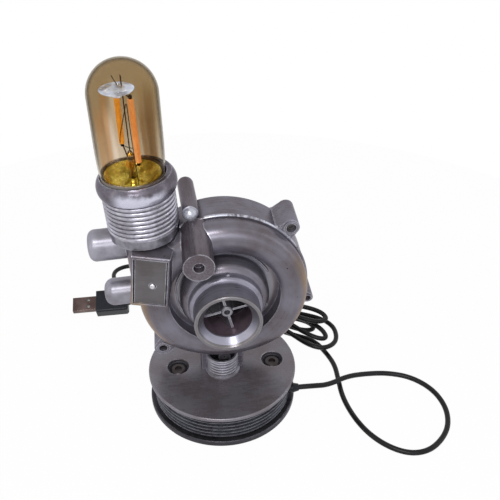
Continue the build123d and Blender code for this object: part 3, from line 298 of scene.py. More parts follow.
# %% [markdown]
# Inside the glass stand two coated filament rods. Each is a bar between two points. A bar is made
# upright as a cone of equal ends, its rims are bevelled, and then it is turned to lie along its line.
# The right rod is the thicker one, and reaches further down than the left one.

# %% Filament rods
BAR_SIDES = 24
BAR_ROUNDING = 0.45         # of the bar's radius, at its rims


def bar(name, start, end, radius):
    """One round bar with softened ends, as its own object, in the bulb's frame."""
    work = bmesh.new()
    start, end = Vector(start), Vector(end)
    along = end - start
    bmesh.ops.create_cone(work, cap_ends=True, cap_tris=False, segments=BAR_SIDES,
                          radius1=radius, radius2=radius, depth=along.length)
    rims = [e for e in work.edges if abs(e.verts[0].co.z - e.verts[1].co.z) < TINY]
    bmesh.ops.bevel(work, geom=rims, offset=radius * BAR_ROUNDING, offset_type="OFFSET",
                    affect="EDGES", segments=3, profile=0.5, material=-1)
    turn = along.to_track_quat("Z", "Y").to_matrix().to_4x4()
    here = Matrix.Translation((start + end) / 2) @ turn
    return finish_mesh(name, work, bulb_place @ here)


left_rod = bar("filament_left", (-0.0036, 0.0, 0.1959), (-0.0033, 0.0, 0.2221), 0.0015)
right_rod = bar("filament_right", (0.0040, 0.0, 0.1837), (0.0037, 0.0, 0.2210), 0.0017)
for rod in (left_rod, right_rod):
    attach(rod, "bulb")
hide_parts("bulb_filaments")
print("filament rods made")

# %% [markdown]
# Thin wires carry the rods. One crosses in front of them from the right rod's head to the left rod's
# foot, one leans out of the top, one runs down to the dish, and a short one holds the left rod's
# foot. A short round tab closes each rod's end.

# %% Wires and tabs
WIRE_R = 0.00022
WIRES = {
    "crossing_wire": [(0.0012, -0.0022, 0.2193), (-0.0012, -0.0025, 0.2110),
                      (-0.0041, -0.0024, 0.2012), (-0.0045, -0.0010, 0.1962),
                      (-0.0040, 0.0, 0.1945)],
    "tip_wire": [(-0.0001, 0.0, 0.2262), (-0.0022, -0.0004, 0.2292), (-0.0036, -0.0006, 0.2322),
                 (-0.0044, -0.0006, 0.2342)],
    "long_wire": [(0.0016, -0.0020, 0.2190), (0.0018, -0.0030, 0.2060), (0.0024, -0.0044, 0.1900),
                  (0.0030, -0.0060, 0.1760), (0.0032, -0.0066, 0.1716)],
    "foot_wire": [(-0.0036, 0.0, 0.1950), (-0.0010, -0.0014, 0.1940), (0.0020, -0.0016, 0.1932)],
}
wires = []
for wire_name, wire_points in WIRES.items():
    placed = [tuple(bulb_place @ Vector(p)) for p in wire_points]
    wire = smooth_curve(wire_name, placed, WIRE_R, resolution=8, bevel=3)
    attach(wire, "bulb")
    wires.append(wire)
tabs = [bar("left_tab_low", (-0.0036, 0.0, 0.1943), (-0.0036, 0.0, 0.1961), 0.0009),
        bar("left_tab_high", (-0.0033, 0.0, 0.2219), (-0.0033, 0.0, 0.2240), 0.0009),
        bar("right_tab_low", (0.0040, 0.0, 0.1819), (0.0040, 0.0, 0.1839), 0.0010),
        bar("right_tab_high", (0.0037, 0.0, 0.2208), (0.0036, 0.0, 0.2232), 0.0010)]
for tab in tabs:
    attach(tab, "bulb")
print("wires:", len(wires), "tabs:", len(tabs))

# %% [markdown]
# A wide bead of glass holds the rods' heads. It is thin and shallow, and its bluish white shine is a
# painted reflection. At the bottom a gilded dish closes the neck, with a rolled rim and a raised
# middle round the stem. Both are spun from profiles. The bead stands a little off the axis, as the
# real one does.

# %% Dish and bead
DISH_R = 0.0160
BEAD_OFF_AXIS = (-0.0028, -0.0008, 0.0)
dish_profile = [
    (0.0026, 0.1752), (0.0034, 0.1728), (0.0052, 0.1714), (0.0084, 0.1716), (0.0115, 0.1733),
    (0.0140, 0.1754), (DISH_R - 0.0006, 0.1775), (DISH_R, 0.1779), (DISH_R + 0.0002, 0.1775),
    (0.0146, 0.1751), (0.0119, 0.1727), (0.0086, 0.1710), (0.0052, 0.1707), (0.0028, 0.1722),
    (0.0021, 0.1752),
]
dish = spun("gilded_dish", dish_profile, bulb_place, closed=True)
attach(dish, "bulb")
bead_profile = [
    (0.0, 0.2293), (0.0014, 0.2292), (0.0030, 0.2284), (0.0060, 0.2278), (0.0085, 0.2277),
    (0.0093, 0.2273), (0.0090, 0.2267), (0.0070, 0.2256), (0.0044, 0.2244), (0.0030, 0.2236),
    (0.0022, 0.2229), (0.0, 0.2227),
]
bead_place = bulb_place @ Matrix.Translation(BEAD_OFF_AXIS)
bead = spun("glass_bead", bead_profile, bead_place, steps=72)
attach(bead, "bulb")
print("dish and bead made")

# %% [markdown]
# A finish is a small tree of nodes. It could be drawn by hand in the shader editor, but a script
# gives the same tree each time. Three helpers keep it short: one feeds a node's inputs, one adds a
# node, and one starts a material with its surface shader.

# %% Adding nodes
def feed(tree, node, inputs):
    """Gives a node's inputs numbers, colours or the outputs of other nodes."""
    for name, value in inputs.items():
        if isinstance(value, bpy.types.NodeSocket):
            tree.links.new(value, node.inputs[name])
        else:
            node.inputs[name].default_value = value


def add(tree, kind, inputs=None, **settings):
    """Adds a node, sets it up and feeds it."""
    node = tree.nodes.new(kind)
    for name, value in settings.items():
        setattr(node, name, value)
    feed(tree, node, inputs or {})
    return node


def new_finish(name):
    """A material with nothing but a surface shader, its tree and that shader."""
    material = bpy.data.materials.new(name)
    material.use_nodes = True
    tree = material.node_tree
    tree.nodes.clear()
    shader = add(tree, "ShaderNodeBsdfPrincipled")
    add(tree, "ShaderNodeOutputMaterial", {"Surface": shader.outputs[0]})
    return material, tree, shader


def colour(red, green, blue):
    """A colour with full strength, in linear values."""
    return (red, green, blue, 1.0)


print("node helpers ready")

# %% [markdown]
# A pattern needs a place to read. Object coordinates stay with a piece, so its marks don't slide
# when a joint moves it. They are in metres here, so a scale of 1000 gives marks of about one
# millimetre. The helpers move and stretch them, take them apart, and turn them into noise.

# %% Places and patterns
def object_point(tree, scale=(1.0, 1.0, 1.0), centre=(0.0, 0.0, 0.0)):
    """Object coordinates, moved so that centre is the origin and stretched by scale."""
    point = add(tree, "ShaderNodeTexCoord").outputs["Object"]
    moved = add(tree, "ShaderNodeVectorMath", {0: point, 1: centre}, operation="SUBTRACT")
    stretched = {0: moved.outputs[0], 1: scale}
    return add(tree, "ShaderNodeVectorMath", stretched, operation="MULTIPLY").outputs[0]


def parts(tree, point):
    """The x, y and z of a point."""
    return add(tree, "ShaderNodeSeparateXYZ", {0: point}).outputs


def length(tree, vector):
    """The length of a vector."""
    return add(tree, "ShaderNodeVectorMath", {0: vector}, operation="LENGTH").outputs["Value"]


def pair(tree, first, second):
    """A flat vector of two numbers."""
    return add(tree, "ShaderNodeCombineXYZ", {0: first, 1: second}).outputs[0]


def noise(tree, point, scale, detail=4.0, roughness=0.55):
    """Cloudy noise from 0 to 1."""
    inputs = {"Vector": point, "Scale": scale, "Detail": detail, "Roughness": roughness}
    return add(tree, "ShaderNodeTexNoise", inputs).outputs["Fac"]


print("pattern helpers ready")

# %% [markdown]
# What a pattern does is worked out by nodes too. A ramp turns a measure into a share from 0 to 1, a
# mix uses that share between two colours, and sums and products join shares. A bump only tilts the
# way a surface catches light, so it suits marks that are too fine for the mesh.

# %% Shares, colours and bumps
def ramp(tree, value, low, high, to_low=0.0, to_high=1.0):
    """Maps low to to_low and high to to_high, smoothly and within those limits."""
    inputs = {"Value": value, "From Min": low, "From Max": high, "To Min": to_low,
              "To Max": to_high}
    made = add(tree, "ShaderNodeMapRange", inputs, interpolation_type="SMOOTHSTEP")
    return made.outputs["Result"]


def mixed(tree, share, first, second):
    """Mixes two colours by share. The node's colour sockets go by number."""
    node = add(tree, "ShaderNodeMix", data_type="RGBA", clamp_factor=True)
    feed(tree, node, {0: share, 6: first, 7: second})
    return node.outputs[2]


def maths(tree, operation, first, second=0.0):
    """One step of arithmetic on numbers."""
    return add(tree, "ShaderNodeMath", {0: first, 1: second}, operation=operation).outputs[0]


def product(tree, first, *others):
    """Numbers multiplied together."""
    for other in others:
        first = maths(tree, "MULTIPLY", first, other)
    return first


def total(tree, first, *others):
    """Numbers added together."""
    for other in others:
        first = maths(tree, "ADD", first, other)
    return first


def blended(tree, first, second, share):
    """The given share of the first number, and the rest of the second."""
    return total(tree, product(tree, first, share), product(tree, second, 1.0 - share))


def bump(tree, height, distance, strength, below=None):
    """Turns a height into a change of the surface's slope, on top of another one."""
    inputs = {"Height": height, "Distance": distance, "Strength": strength}
    if below is not None:
        inputs["Normal"] = below
    return add(tree, "ShaderNodeBump", inputs).outputs["Normal"]


print("colour helpers ready")

# %% [markdown]
# The castings are worn: their edges are rubbed bare, and the same bright edges are a painted
# highlight along every edge. Turned pieces carry the rings of a lathe or a brush, and casting left a
# few pinholes. The Bevel node finds the edges, because it gives a softened normal that differs from
# the true one only beside an edge. The rings are noise read by the distance from the wheel's axis,
# which runs along Y, and the pinholes are cells that chance picks out.

# %% Worn edges with a painted highlight, rings and pinholes
TURBO_CENTRE = (0.002, 0.0, 0.0961)
EDGE_WIDTH = 0.0011


def worn_and_highlit_edges(tree):
    """One at sharp edges, falling to nothing over the width of an edge's wear and painted highlight.
    """
    soft = add(tree, "ShaderNodeBevel", {"Radius": EDGE_WIDTH}, samples=4).outputs["Normal"]
    true = add(tree, "ShaderNodeNewGeometry").outputs["Normal"]
    along = add(tree, "ShaderNodeVectorMath", {0: soft, 1: true}, operation="DOT_PRODUCT")
    return ramp(tree, along.outputs["Value"], 0.985, 0.86)


def round_wheel(tree):
    """Distance from the wheel's axis, place along it, and height above it."""
    across, along, height = parts(tree, object_point(tree, centre=TURBO_CENTRE))
    return length(tree, pair(tree, across, height)), along, height


def turned_lines(tree, scale):
    """Fine rings round the wheel's axis, as a lathe tool or a turning brush leaves them."""
    radius, along, _ = round_wheel(tree)
    fine = noise(tree, pair(tree, radius, along), scale, 2.0, 0.6)
    patch = noise(tree, object_point(tree), 110.0, 3.0)
    return blended(tree, fine, patch, 0.6)


def pinholes_in(tree, point, amount):
    """One in the middle of a few small cells, which chance picks out."""
    cells = add(tree, "ShaderNodeTexVoronoi", {"Vector": point, "Scale": 150.0}, feature="F1")
    chance = add(tree, "ShaderNodeSeparateColor", {"Color": cells.outputs["Color"]}).outputs["Red"]
    near = ramp(tree, cells.outputs["Distance"], 0.045, 0.085, 1.0, 0.0)
    return product(tree, near, ramp(tree, chance, 1.0 - 0.30 * amount, 1.0 - 0.28 * amount))


print("wear helpers ready")

# %% [markdown]
# Every casting is sprayed in the same old-silver paint. Close up it has a warm brown-grey ground, a
# cooler sheen where it is rubbed, fine strokes of a brush or cloth, bare edges that also carry a
# painted highlight, and pinholes. One function paints them all, because the real ones share one
# paint, and its arguments say where one casting differs, painted highlights and painted shade among
# them. Noise that is stretched along one direction gives the strokes.

# %% Old silver
GROUND = colour(0.112, 0.094, 0.102)
RUBBED = colour(0.205, 0.198, 0.240)
BARE_METAL_AND_HIGHLIGHT = colour(0.60, 0.60, 0.67)
PINHOLE_BLACK = colour(0.012, 0.011, 0.012)
SILVER_SHEEN = colour(0.62, 0.58, 0.66)
SILVER_METALLIC = 0.58


def old_silver(name, ground=GROUND, rubbed=RUBBED, strokes=(60.0, 700.0, 700.0), rings=None,
               rough=(0.23, 0.38), cloudiness=0.6, pinholes=0.5, edge_wear_and_highlight=0.8, relief=1.0, tint=None):
    """Old silver paint. Its strokes are stretched by their scale, or rings where those are given."""
    material, tree, shader = new_finish(name)
    point = object_point(tree)
    cloud = noise(tree, point, 48.0)
    if rings is None:
        stroke = noise(tree, object_point(tree, strokes), 1.0, 3.0, 0.6)
    else:
        stroke = turned_lines(tree, rings)
    grain = noise(tree, point, 2600.0, 2.0)
    blend = blended(tree, cloud, stroke, cloudiness)
    base = mixed(tree, ramp(tree, blend, 0.30, 0.70), ground, rubbed)
    # A tint is the casting's own colour in places, and on some castings painted highlights, painted
    # reflection and painted shade.
    if tint is not None:
        mask, tint_colour = tint(tree)
        base = mixed(tree, mask, base, tint_colour)
    broken = ramp(tree, noise(tree, point, 260.0, 3.0), 0.34, 0.56, 0.25, 1.0)
    # Bare metal at the edges: partly wear, partly a painted highlight along every edge.
    base = mixed(tree, product(tree, worn_and_highlit_edges(tree), broken, edge_wear_and_highlight), base, BARE_METAL_AND_HIGHLIGHT)
    hole = pinholes_in(tree, point, pinholes)
    slope = bump(tree, stroke, 0.00005 * relief, 0.30)
    slope = bump(tree, grain, 0.00003 * relief, 0.30, slope)
    feed(tree, shader, {
        "Base Color": mixed(tree, hole, base, PINHOLE_BLACK),
        "Roughness": ramp(tree, blended(tree, stroke, cloud, 0.6), 0.3, 0.7, *rough),
        "Metallic": SILVER_METALLIC,
        "Specular Tint": SILVER_SHEEN,
        "Normal": bump(tree, product(tree, hole, -1.0), 0.0003, 0.8, slope),
    })
    return material


print("old silver ready")

# %% [markdown]
# Some castings have a colour of their own in places, and some carry painted light. Low on both sides
# the scroll's rim has a painted golden-brown reflection, the wall of its groove is made paler with
# painted light, the bevel in the pipe's mouth has a painted highlight below, and the pipe and the
# wheel in it are a dull violet inside. A painted picture could hold such places, but a measure from
# the wheel's axis finds them without one. Each function below gives a share and a colour, which
# old_silver mixes into its paint.

# %% Painted light on the scroll and the pipe, and violet in the pipe and the wheel
INSIDE_R = 0.0186           # what lies within this is the pipe's bore and its bevel
PIPE_FACE = -0.0394         # along the wheel's axis: just behind the face of the pipe's lip
BEVEL_END = -0.0344         # and where the bevel in its mouth ends and the bore begins


def scroll_painted_light(tree):
    """A painted golden-brown reflection low on both sides of the rim, and painted light on the
    groove's wall.
    """
    point = object_point(tree, centre=TURBO_CENTRE)
    radius, _, height = round_wheel(tree)
    # The rim's golden brown is a painted reflection, and the groove's paler wall is painted light.
    uneven = ramp(tree, noise(tree, point, 45.0, 3.0), 0.35, 0.65, 0.45, 1.0)
    rim = product(tree, ramp(tree, radius, 0.0455, 0.0510), ramp(tree, height, 0.034, 0.004),
                  uneven)
    painted_groove_tone = ramp(tree, radius, 0.0325, 0.0300)
    share = maths(tree, "MAXIMUM", product(tree, rim, 0.9), product(tree, painted_groove_tone, 0.5))
    return share, mixed(tree, painted_groove_tone, colour(0.36, 0.245, 0.12), colour(0.36, 0.36, 0.40))


def pipe_violet_and_painted_highlight(tree):
    """The bore is a dull violet, the bevel has a painted highlight below, and the lip's face is dull.
    """
    point = object_point(tree, centre=TURBO_CENTRE)
    radius, along, height = round_wheel(tree)
    within = ramp(tree, radius, INSIDE_R + 0.0002, INSIDE_R - 0.0002)
    inside = product(tree, within, ramp(tree, along, PIPE_FACE, PIPE_FACE + 0.0003))
    face = ramp(tree, along, PIPE_FACE + 0.0003, PIPE_FACE)
    patchy = ramp(tree, noise(tree, point, 120.0, 3.0), 0.38, 0.62)
    violet = mixed(tree, patchy, colour(0.145, 0.096, 0.120), colour(0.225, 0.158, 0.192))
    # The bevel's bright lower part is a painted highlight.
    bevel = mixed(tree, ramp(tree, height, 0.002, -0.014), colour(0.175, 0.170, 0.190),
                  colour(0.36, 0.36, 0.44))
    inner = mixed(tree, ramp(tree, along, BEVEL_END - 0.0004, BEVEL_END + 0.0004), bevel, violet)
    share = maths(tree, "MAXIMUM", product(tree, inside, 0.85), product(tree, face, 0.75))
    return share, mixed(tree, face, inner, colour(0.160, 0.147, 0.140))


def wheel_tint(tree):
    """The wheel is a dull violet behind its arms."""
    _, along, _ = round_wheel(tree)
    return ramp(tree, along, -0.0190, -0.0160, 0.0, 0.85), colour(0.150, 0.092, 0.120)


print("tints of the scroll, the pipe and the wheel ready")

# %% [markdown]
# Other places carry painted highlights and painted shade. The bead round the back plate has a dashed
# painted highlight, the ball of the rear tube a painted highlight, the holder painted shade between
# its ridges and a darker foot, and the shade ring a painted highlight along its lower half, with a
# ragged edge that noise gives. The ridges are found by the distance from the holder's leaning axis.

# %% Painted highlights and shade on the plate, the ball, the holder and the ring
BALL_CENTRE = (-0.0161, -0.0043, 0.1508)
RING_CENTRE = (-0.0446, 0.0, 0.170)
HOLDER_FOOT = 0.1440        # height where the holder's plain foot ends and its ridges begin


def bead_painted_highlight(tree):
    """A dashed painted highlight along the upper part of the bead round the back plate."""
    radius, along, height = round_wheel(tree)
    on_bead = product(tree, ramp(tree, radius, 0.0520, 0.0524), ramp(tree, radius, 0.0536, 0.0533),
                      ramp(tree, along, -0.0024, -0.0031))
    streaky = noise(tree, object_point(tree, (170.0, 30.0, 170.0)), 1.0, 3.0)
    dashes = product(tree, ramp(tree, streaky, 0.40, 0.50), ramp(tree, height, 0.020, 0.036))
    return product(tree, on_bead, dashes), colour(0.55, 0.56, 0.64)


def ball_painted_highlight(tree):
    """A painted highlight on the ball at the front of the rear tube."""
    away = length(tree, object_point(tree, centre=BALL_CENTRE))
    return product(tree, ramp(tree, away, 0.0050, 0.0046), 0.9), colour(0.52, 0.53, 0.60)


def thread_painted_shade(tree):
    """Painted shade in the grooves between the holder's ridges, and a foot darker than the ridges."""
    x, y, height = parts(tree, object_point(tree))
    across = total(tree, x, product(tree, height, math.tan(LEAN)), -STAND_X)
    radius = length(tree, pair(tree, across, y))
    painted_groove_tone = product(tree, ramp(tree, radius, 0.0207, 0.0201),
                     ramp(tree, height, HOLDER_FOOT, HOLDER_FOOT + 0.0015))
    foot = ramp(tree, height, HOLDER_FOOT + 0.0004, HOLDER_FOOT - 0.0004)
    share = maths(tree, "MAXIMUM", product(tree, painted_groove_tone, 0.85), product(tree, foot, 0.55))
    return share, colour(0.055, 0.050, 0.060)


def ring_painted_highlight(tree):
    """A painted highlight on the front of the shade ring's lower half, its border ragged."""
    x, _, z = parts(tree, object_point(tree, centre=RING_CENTRE))
    ragged = noise(tree, object_point(tree, (160.0, 160.0, 90.0)), 1.0, 4.0, 0.65)
    height = total(tree, z, product(tree, ragged, 0.007))
    upper = ramp(tree, height, 0.0092, 0.0052)
    lower = ramp(tree, height, -0.0014, 0.0004)
    off_middle = maths(tree, "ABSOLUTE", maths(tree, "SUBTRACT", x, 0.0015))
    share = product(tree, upper, lower, ramp(tree, off_middle, 0.017, 0.009), 0.92)
    return share, colour(0.64, 0.64, 0.76)


print("tints of the plate, the ball, the holder and the ring ready")

# %% [markdown]
# One row for each kind of casting says how its paint differs from the plain one: its two colours, the
# way its strokes run, its gloss, and its tint, which on some castings is painted light. A table shows
# those differences side by side, and a loop makes the finishes from it.

# %% The castings' finishes
FINE_RINGS, COARSE_RINGS = 1500.0, 420.0
SILVERS = {
    "cast_silver": dict(),
    "plate_bead_silver": dict(tint=bead_painted_highlight, cloudiness=0.7),
    "scroll_silver": dict(tint=scroll_painted_light, rough=(0.25, 0.35), rings=COARSE_RINGS,
                          cloudiness=0.7, relief=0.6),
    "brown_silver": dict(ground=colour(0.090, 0.072, 0.080), rubbed=colour(0.160, 0.142, 0.164),
                         strokes=(700.0, 60.0, 700.0), rough=(0.20, 0.34), relief=0.6),
    "ball_silver": dict(ground=colour(0.085, 0.066, 0.072), rubbed=colour(0.150, 0.134, 0.150),
                        strokes=(700.0, 60.0, 700.0), rough=(0.22, 0.34), tint=ball_painted_highlight,
                        relief=0.6),
    "turned_silver": dict(rings=FINE_RINGS),
    "pipe_silver": dict(ground=colour(0.165, 0.154, 0.180), rubbed=colour(0.320, 0.314, 0.385),
                        rings=FINE_RINGS, tint=pipe_violet_and_painted_highlight, rough=(0.25, 0.35), edge_wear_and_highlight=0.35),
    "wheel_silver": dict(ground=colour(0.120, 0.115, 0.125), rubbed=colour(0.300, 0.298, 0.325),
                         rings=FINE_RINGS, tint=wheel_tint, edge_wear_and_highlight=0.9),
    "dark_silver": dict(ground=colour(0.036, 0.036, 0.042), rubbed=colour(0.098, 0.102, 0.122),
                        strokes=(700.0, 700.0, 1500.0), edge_wear_and_highlight=0.30),
    "flange_silver": dict(ground=colour(0.024, 0.022, 0.025), rubbed=colour(0.052, 0.050, 0.058),
                          strokes=(300.0, 300.0, 900.0)),
    "plate_silver": dict(ground=colour(0.092, 0.082, 0.084), rubbed=colour(0.150, 0.142, 0.150),
                         strokes=(60.0, 420.0, 900.0), rough=(0.30, 0.42), pinholes=0.25,
                         cloudiness=0.8),
    "base_silver": dict(ground=colour(0.150, 0.130, 0.138), rubbed=colour(0.205, 0.196, 0.224),
                        strokes=(110.0, 480.0, 900.0), rough=(0.22, 0.34), pinholes=0.4,
                        cloudiness=0.85),
    "bright_silver": dict(ground=colour(0.170, 0.158, 0.180), rubbed=colour(0.360, 0.358, 0.415),
                          strokes=(260.0, 260.0, 260.0), rough=(0.30, 0.38), cloudiness=0.8,
                          relief=0.12),
    "thread_silver": dict(ground=colour(0.240, 0.225, 0.260), rubbed=colour(0.620, 0.615, 0.700),
                          strokes=(420.0, 420.0, 420.0), rough=(0.16, 0.26), tint=thread_painted_shade),
    "ring_silver": dict(ground=colour(0.090, 0.076, 0.090), rubbed=colour(0.165, 0.155, 0.188),
                        strokes=(300.0, 300.0, 500.0), rough=(0.20, 0.32), tint=ring_painted_highlight),
}
silver = {name: old_silver(name, **settings) for name, settings in SILVERS.items()}
print("old silver finishes:", len(silver))

# %% [markdown]
# Plain metals, plastics and rubber are simpler, but none of them is one flat colour: a faint cloud in
# the colour and in the gloss, and a grain too fine to see, make them look handled. One function and
# a table do for them all.

# %% Plain finishes
GRAIN_SCALE = 2500.0
FAINT_GRAIN = 0.000004


def simple_finish(name, first, second, rough=(0.35, 0.5), metallic=0.0, cloud_scale=120.0,
                  grain_depth=0.00002, specular=0.5):
    """A finish with a soft cloud between two colours and a fine grain."""
    material, tree, shader = new_finish(name)
    point = object_point(tree)
    cloud = noise(tree, point, cloud_scale)
    feed(tree, shader, {
        "Base Color": mixed(tree, ramp(tree, cloud, 0.35, 0.65), first, second),
        "Roughness": ramp(tree, cloud, 0.3, 0.7, *rough),
        "Metallic": metallic,
        "Specular IOR Level": specular,
        "Normal": bump(tree, noise(tree, point, GRAIN_SCALE, 2.0), grain_depth, 0.4),
    })
    return material


PLAIN = {
    "cord_rubber": dict(first=colour(0.004, 0.004, 0.005), second=colour(0.009, 0.009, 0.011),
                        rough=(0.26, 0.36), specular=0.22),
    "black_plastic": dict(first=colour(0.004, 0.005, 0.009), second=colour(0.009, 0.011, 0.018),
                          rough=(0.26, 0.38), specular=0.25),
    "foot_rubber": dict(first=colour(0.012, 0.012, 0.012), second=colour(0.022, 0.022, 0.022),
                        rough=(0.7, 0.85)),
    # The nickel's brown tone is a painted reflection.
    "nickel": dict(first=colour(0.080, 0.054, 0.050), second=colour(0.145, 0.105, 0.098),
                   rough=(0.16, 0.26), metallic=1.0, cloud_scale=70.0, grain_depth=FAINT_GRAIN),
    "wire_metal": dict(first=colour(0.045, 0.032, 0.026), second=colour(0.085, 0.062, 0.050),
                       rough=(0.25, 0.4), metallic=1.0, grain_depth=FAINT_GRAIN),
    "brass": dict(first=colour(0.62, 0.42, 0.16), second=colour(0.78, 0.56, 0.24),
                  rough=(0.2, 0.34), metallic=1.0),
    "bush_bronze": dict(first=colour(0.42, 0.27, 0.14), second=colour(0.55, 0.37, 0.20),
                        rough=(0.25, 0.4), metallic=1.0),
    "fastener_steel": dict(first=colour(0.055, 0.050, 0.050), second=colour(0.11, 0.102, 0.104),
                           rough=(0.32, 0.48), metallic=0.8),
    "bolt_brown": dict(first=colour(0.034, 0.025, 0.026), second=colour(0.058, 0.048, 0.050),
                       rough=(0.30, 0.45), metallic=0.6),
    "bright_steel": dict(first=colour(0.46, 0.45, 0.47), second=colour(0.62, 0.61, 0.64),
                         rough=(0.14, 0.24), metallic=1.0),
    # Its grey-brown, lighter than black, is partly painted light on the holder's shaded insides.
    "seat_plastic": dict(first=colour(0.10, 0.085, 0.075), second=colour(0.16, 0.14, 0.125)),
    "white_plastic": dict(first=colour(0.62, 0.62, 0.60), second=colour(0.72, 0.72, 0.70)),
    "phosphor_yellow": dict(first=colour(0.80, 0.34, 0.03), second=colour(0.90, 0.44, 0.06),
                            rough=(0.45, 0.6), cloud_scale=500.0, grain_depth=0.00005),
    "phosphor_orange": dict(first=colour(0.86, 0.34, 0.11), second=colour(0.97, 0.44, 0.18),
                            rough=(0.45, 0.6), cloud_scale=500.0, grain_depth=0.00005),
    "gilding": dict(first=colour(0.42, 0.34, 0.05), second=colour(0.85, 0.76, 0.20),
                    rough=(0.10, 0.30), metallic=1.0, cloud_scale=260.0),
    # The pearl bead's bluish white is a painted reflection.
    "pearl": dict(first=colour(0.55, 0.62, 0.85), second=colour(0.85, 0.90, 1.0),
                  rough=(0.12, 0.28), cloud_scale=300.0),
}
plain = {name: simple_finish(name, **settings) for name, settings in PLAIN.items()}
print("plain finishes:", len(plain))

# %% [markdown]
# The coated rods, the dish and the bead are seen through amber glass, which hides their colours. With
# the lamp off the real ones don't glow, but a faint painted glow of their own brings those colours
# back. The bead's glow is a patchy painted reflection, as of glass that catches a window, and it lets
# some light through.

# %% A faint glow in the bulb
def glow(material, tone, strength):
    """Gives a finish a faint light of its own."""
    tree = material.node_tree
    feed(tree, tree.nodes["Principled BSDF"], {"Emission Color": tone,
                                               "Emission Strength": strength})


glow(plain["phosphor_yellow"], colour(0.9, 0.38, 0.04), 0.55)
glow(plain["phosphor_orange"], colour(1.0, 0.50, 0.20), 0.55)
glow(plain["gilding"], colour(0.50, 0.38, 0.06), 0.12)
pearl_tree = plain["pearl"].node_tree
pearl_painted_reflection = noise(pearl_tree, object_point(pearl_tree, (130.0, 130.0, 320.0)), 1.0, 2.0)
glow(plain["pearl"], colour(0.45, 0.62, 1.0), ramp(pearl_tree, pearl_painted_reflection, 0.38, 0.62, 0.05, 0.95))
feed(pearl_tree, pearl_tree.nodes["Principled BSDF"], {"Transmission Weight": 0.55})
print("glow ready")

# %% [markdown]
# The bulb's glass is a smoky amber, and the glass of its stem a darker brown. Colour on a
# transmitting surface acts at each wall that light goes through, so the tint given here is weaker
# than the bulb looks. Blown glass is never quite even, so a faint bump ripples it.

# %% Clear finishes
AMBER = colour(0.53, 0.44, 0.31)
STEM_BROWN = colour(0.62, 0.48, 0.32)
AMBER_IOR = 1.07            # well below that of real glass, for soft edges
STEM_IOR = 1.45


def glass_finish(name, tint, ior, ripple_depth):
    """A transmitting finish with a faint unevenness in its surface."""
    material, tree, shader = new_finish(name)
    ripple = noise(tree, object_point(tree), 60.0, 2.0)
    feed(tree, shader, {
        "Base Color": tint, "Roughness": 0.0, "IOR": ior, "Transmission Weight": 1.0,
        "Specular Tint": colour(0.62, 0.58, 0.56),
        "Normal": bump(tree, ripple, ripple_depth, 0.12),
    })
    return material, tree, shader


amber_glass, glass_tree, glass_shader = glass_finish("amber_glass", AMBER, AMBER_IOR, 0.0001)
clear_glass, _, _ = glass_finish("clear_glass", STEM_BROWN, STEM_IOR, 0.0004)
print("clear finishes ready")

# %% [markdown]
# The bulb's tint carries upright streaks that are painted reflections, is paler low down, and is
# darker where the wall is seen on edge, because more glass lies in the way there. Layer Weight finds
# that. At the shade ring the glass turns a dull grey that lets less through, painted light over the
# shade inside the ring, and its edge is darkened less there, because otherwise a black crescent would
# show between the dish and the ring.

# %% The bulb's tint and painted reflections
PALE_AMBER = colour(0.80, 0.75, 0.67)
EDGE_BROWN = colour(0.16, 0.14, 0.115)
FOOT_PAINTED_GREY = colour(0.34, 0.31, 0.28)
BULB_SLOPE = 0.01745        # how far the bulb's axis moves to the left for each metre up
BULB_FOOT_X = -0.0434       # where that axis would meet the table
GREY_BELOW, CLEAR_ABOVE = 0.1775, 0.1790
# Upright streaks of painted reflection in the glass.
PAINTED_REFLECTION_STREAKS = (              # middle of the streak from the bulb's axis, half width, strength, colour
    (-0.0128, 0.0032, 0.85, colour(0.57, 0.36, 0.19)),
    (-0.0068, 0.0036, 0.85, colour(0.92, 0.82, 0.73)),
    (0.0070, 0.0018, 0.6, colour(0.52, 0.35, 0.19)),
    (0.0118, 0.0050, 0.9, colour(0.38, 0.27, 0.155)),
)


def band(tree, value, centre, half_width):
    """One near centre, falling to nothing half_width away."""
    off = maths(tree, "ABSOLUTE", maths(tree, "SUBTRACT", value, centre))
    return ramp(tree, off, 0.25 * half_width, half_width, 1.0, 0.0)


def from_bulb_axis(tree, x, height):
    """How far to the right of the bulb's axis a point lies, with a wandering of 3 mm each way."""
    sideways = total(tree, x, product(tree, height, BULB_SLOPE), -BULB_FOOT_X)
    wander = product(tree, noise(tree, object_point(tree, (40.0, 40.0, 12.0)), 1.0), 0.006)
    return total(tree, sideways, maths(tree, "SUBTRACT", wander, 0.003))


def amber_tint(tree):
    """The glass's colour with painted reflections and a painted grey at its foot, and how much it
    transmits.
    """
    x, _, height = parts(tree, object_point(tree))
    sideways = from_bulb_axis(tree, x, height)
    tint = mixed(tree, ramp(tree, height, 0.220, 0.182, 0.0, 0.75), AMBER, PALE_AMBER)
    below_dome = ramp(tree, height, 0.228, 0.214)
    for middle, half_width, strength, streak_colour in PAINTED_REFLECTION_STREAKS:
        reflection_streak = product(tree, band(tree, sideways, middle, half_width), below_dome, strength)
        tint = mixed(tree, reflection_streak, tint, streak_colour)
    on_edge = add(tree, "ShaderNodeLayerWeight", {"Blend": 0.5}).outputs["Facing"]
    above_ring = ramp(tree, height, 0.176, 0.192, 0.15, 1.0)
    edge = product(tree, ramp(tree, on_edge, 0.50, 0.76, 0.0, 0.92), above_ring)
    tint = mixed(tree, edge, tint, EDGE_BROWN)
    # The grey at the foot is painted light over the shade inside the shade ring.
    tint = mixed(tree, ramp(tree, height, CLEAR_ABOVE, GREY_BELOW), tint, FOOT_PAINTED_GREY)
    return tint, ramp(tree, height, GREY_BELOW, CLEAR_ABOVE, 0.25, 1.0)


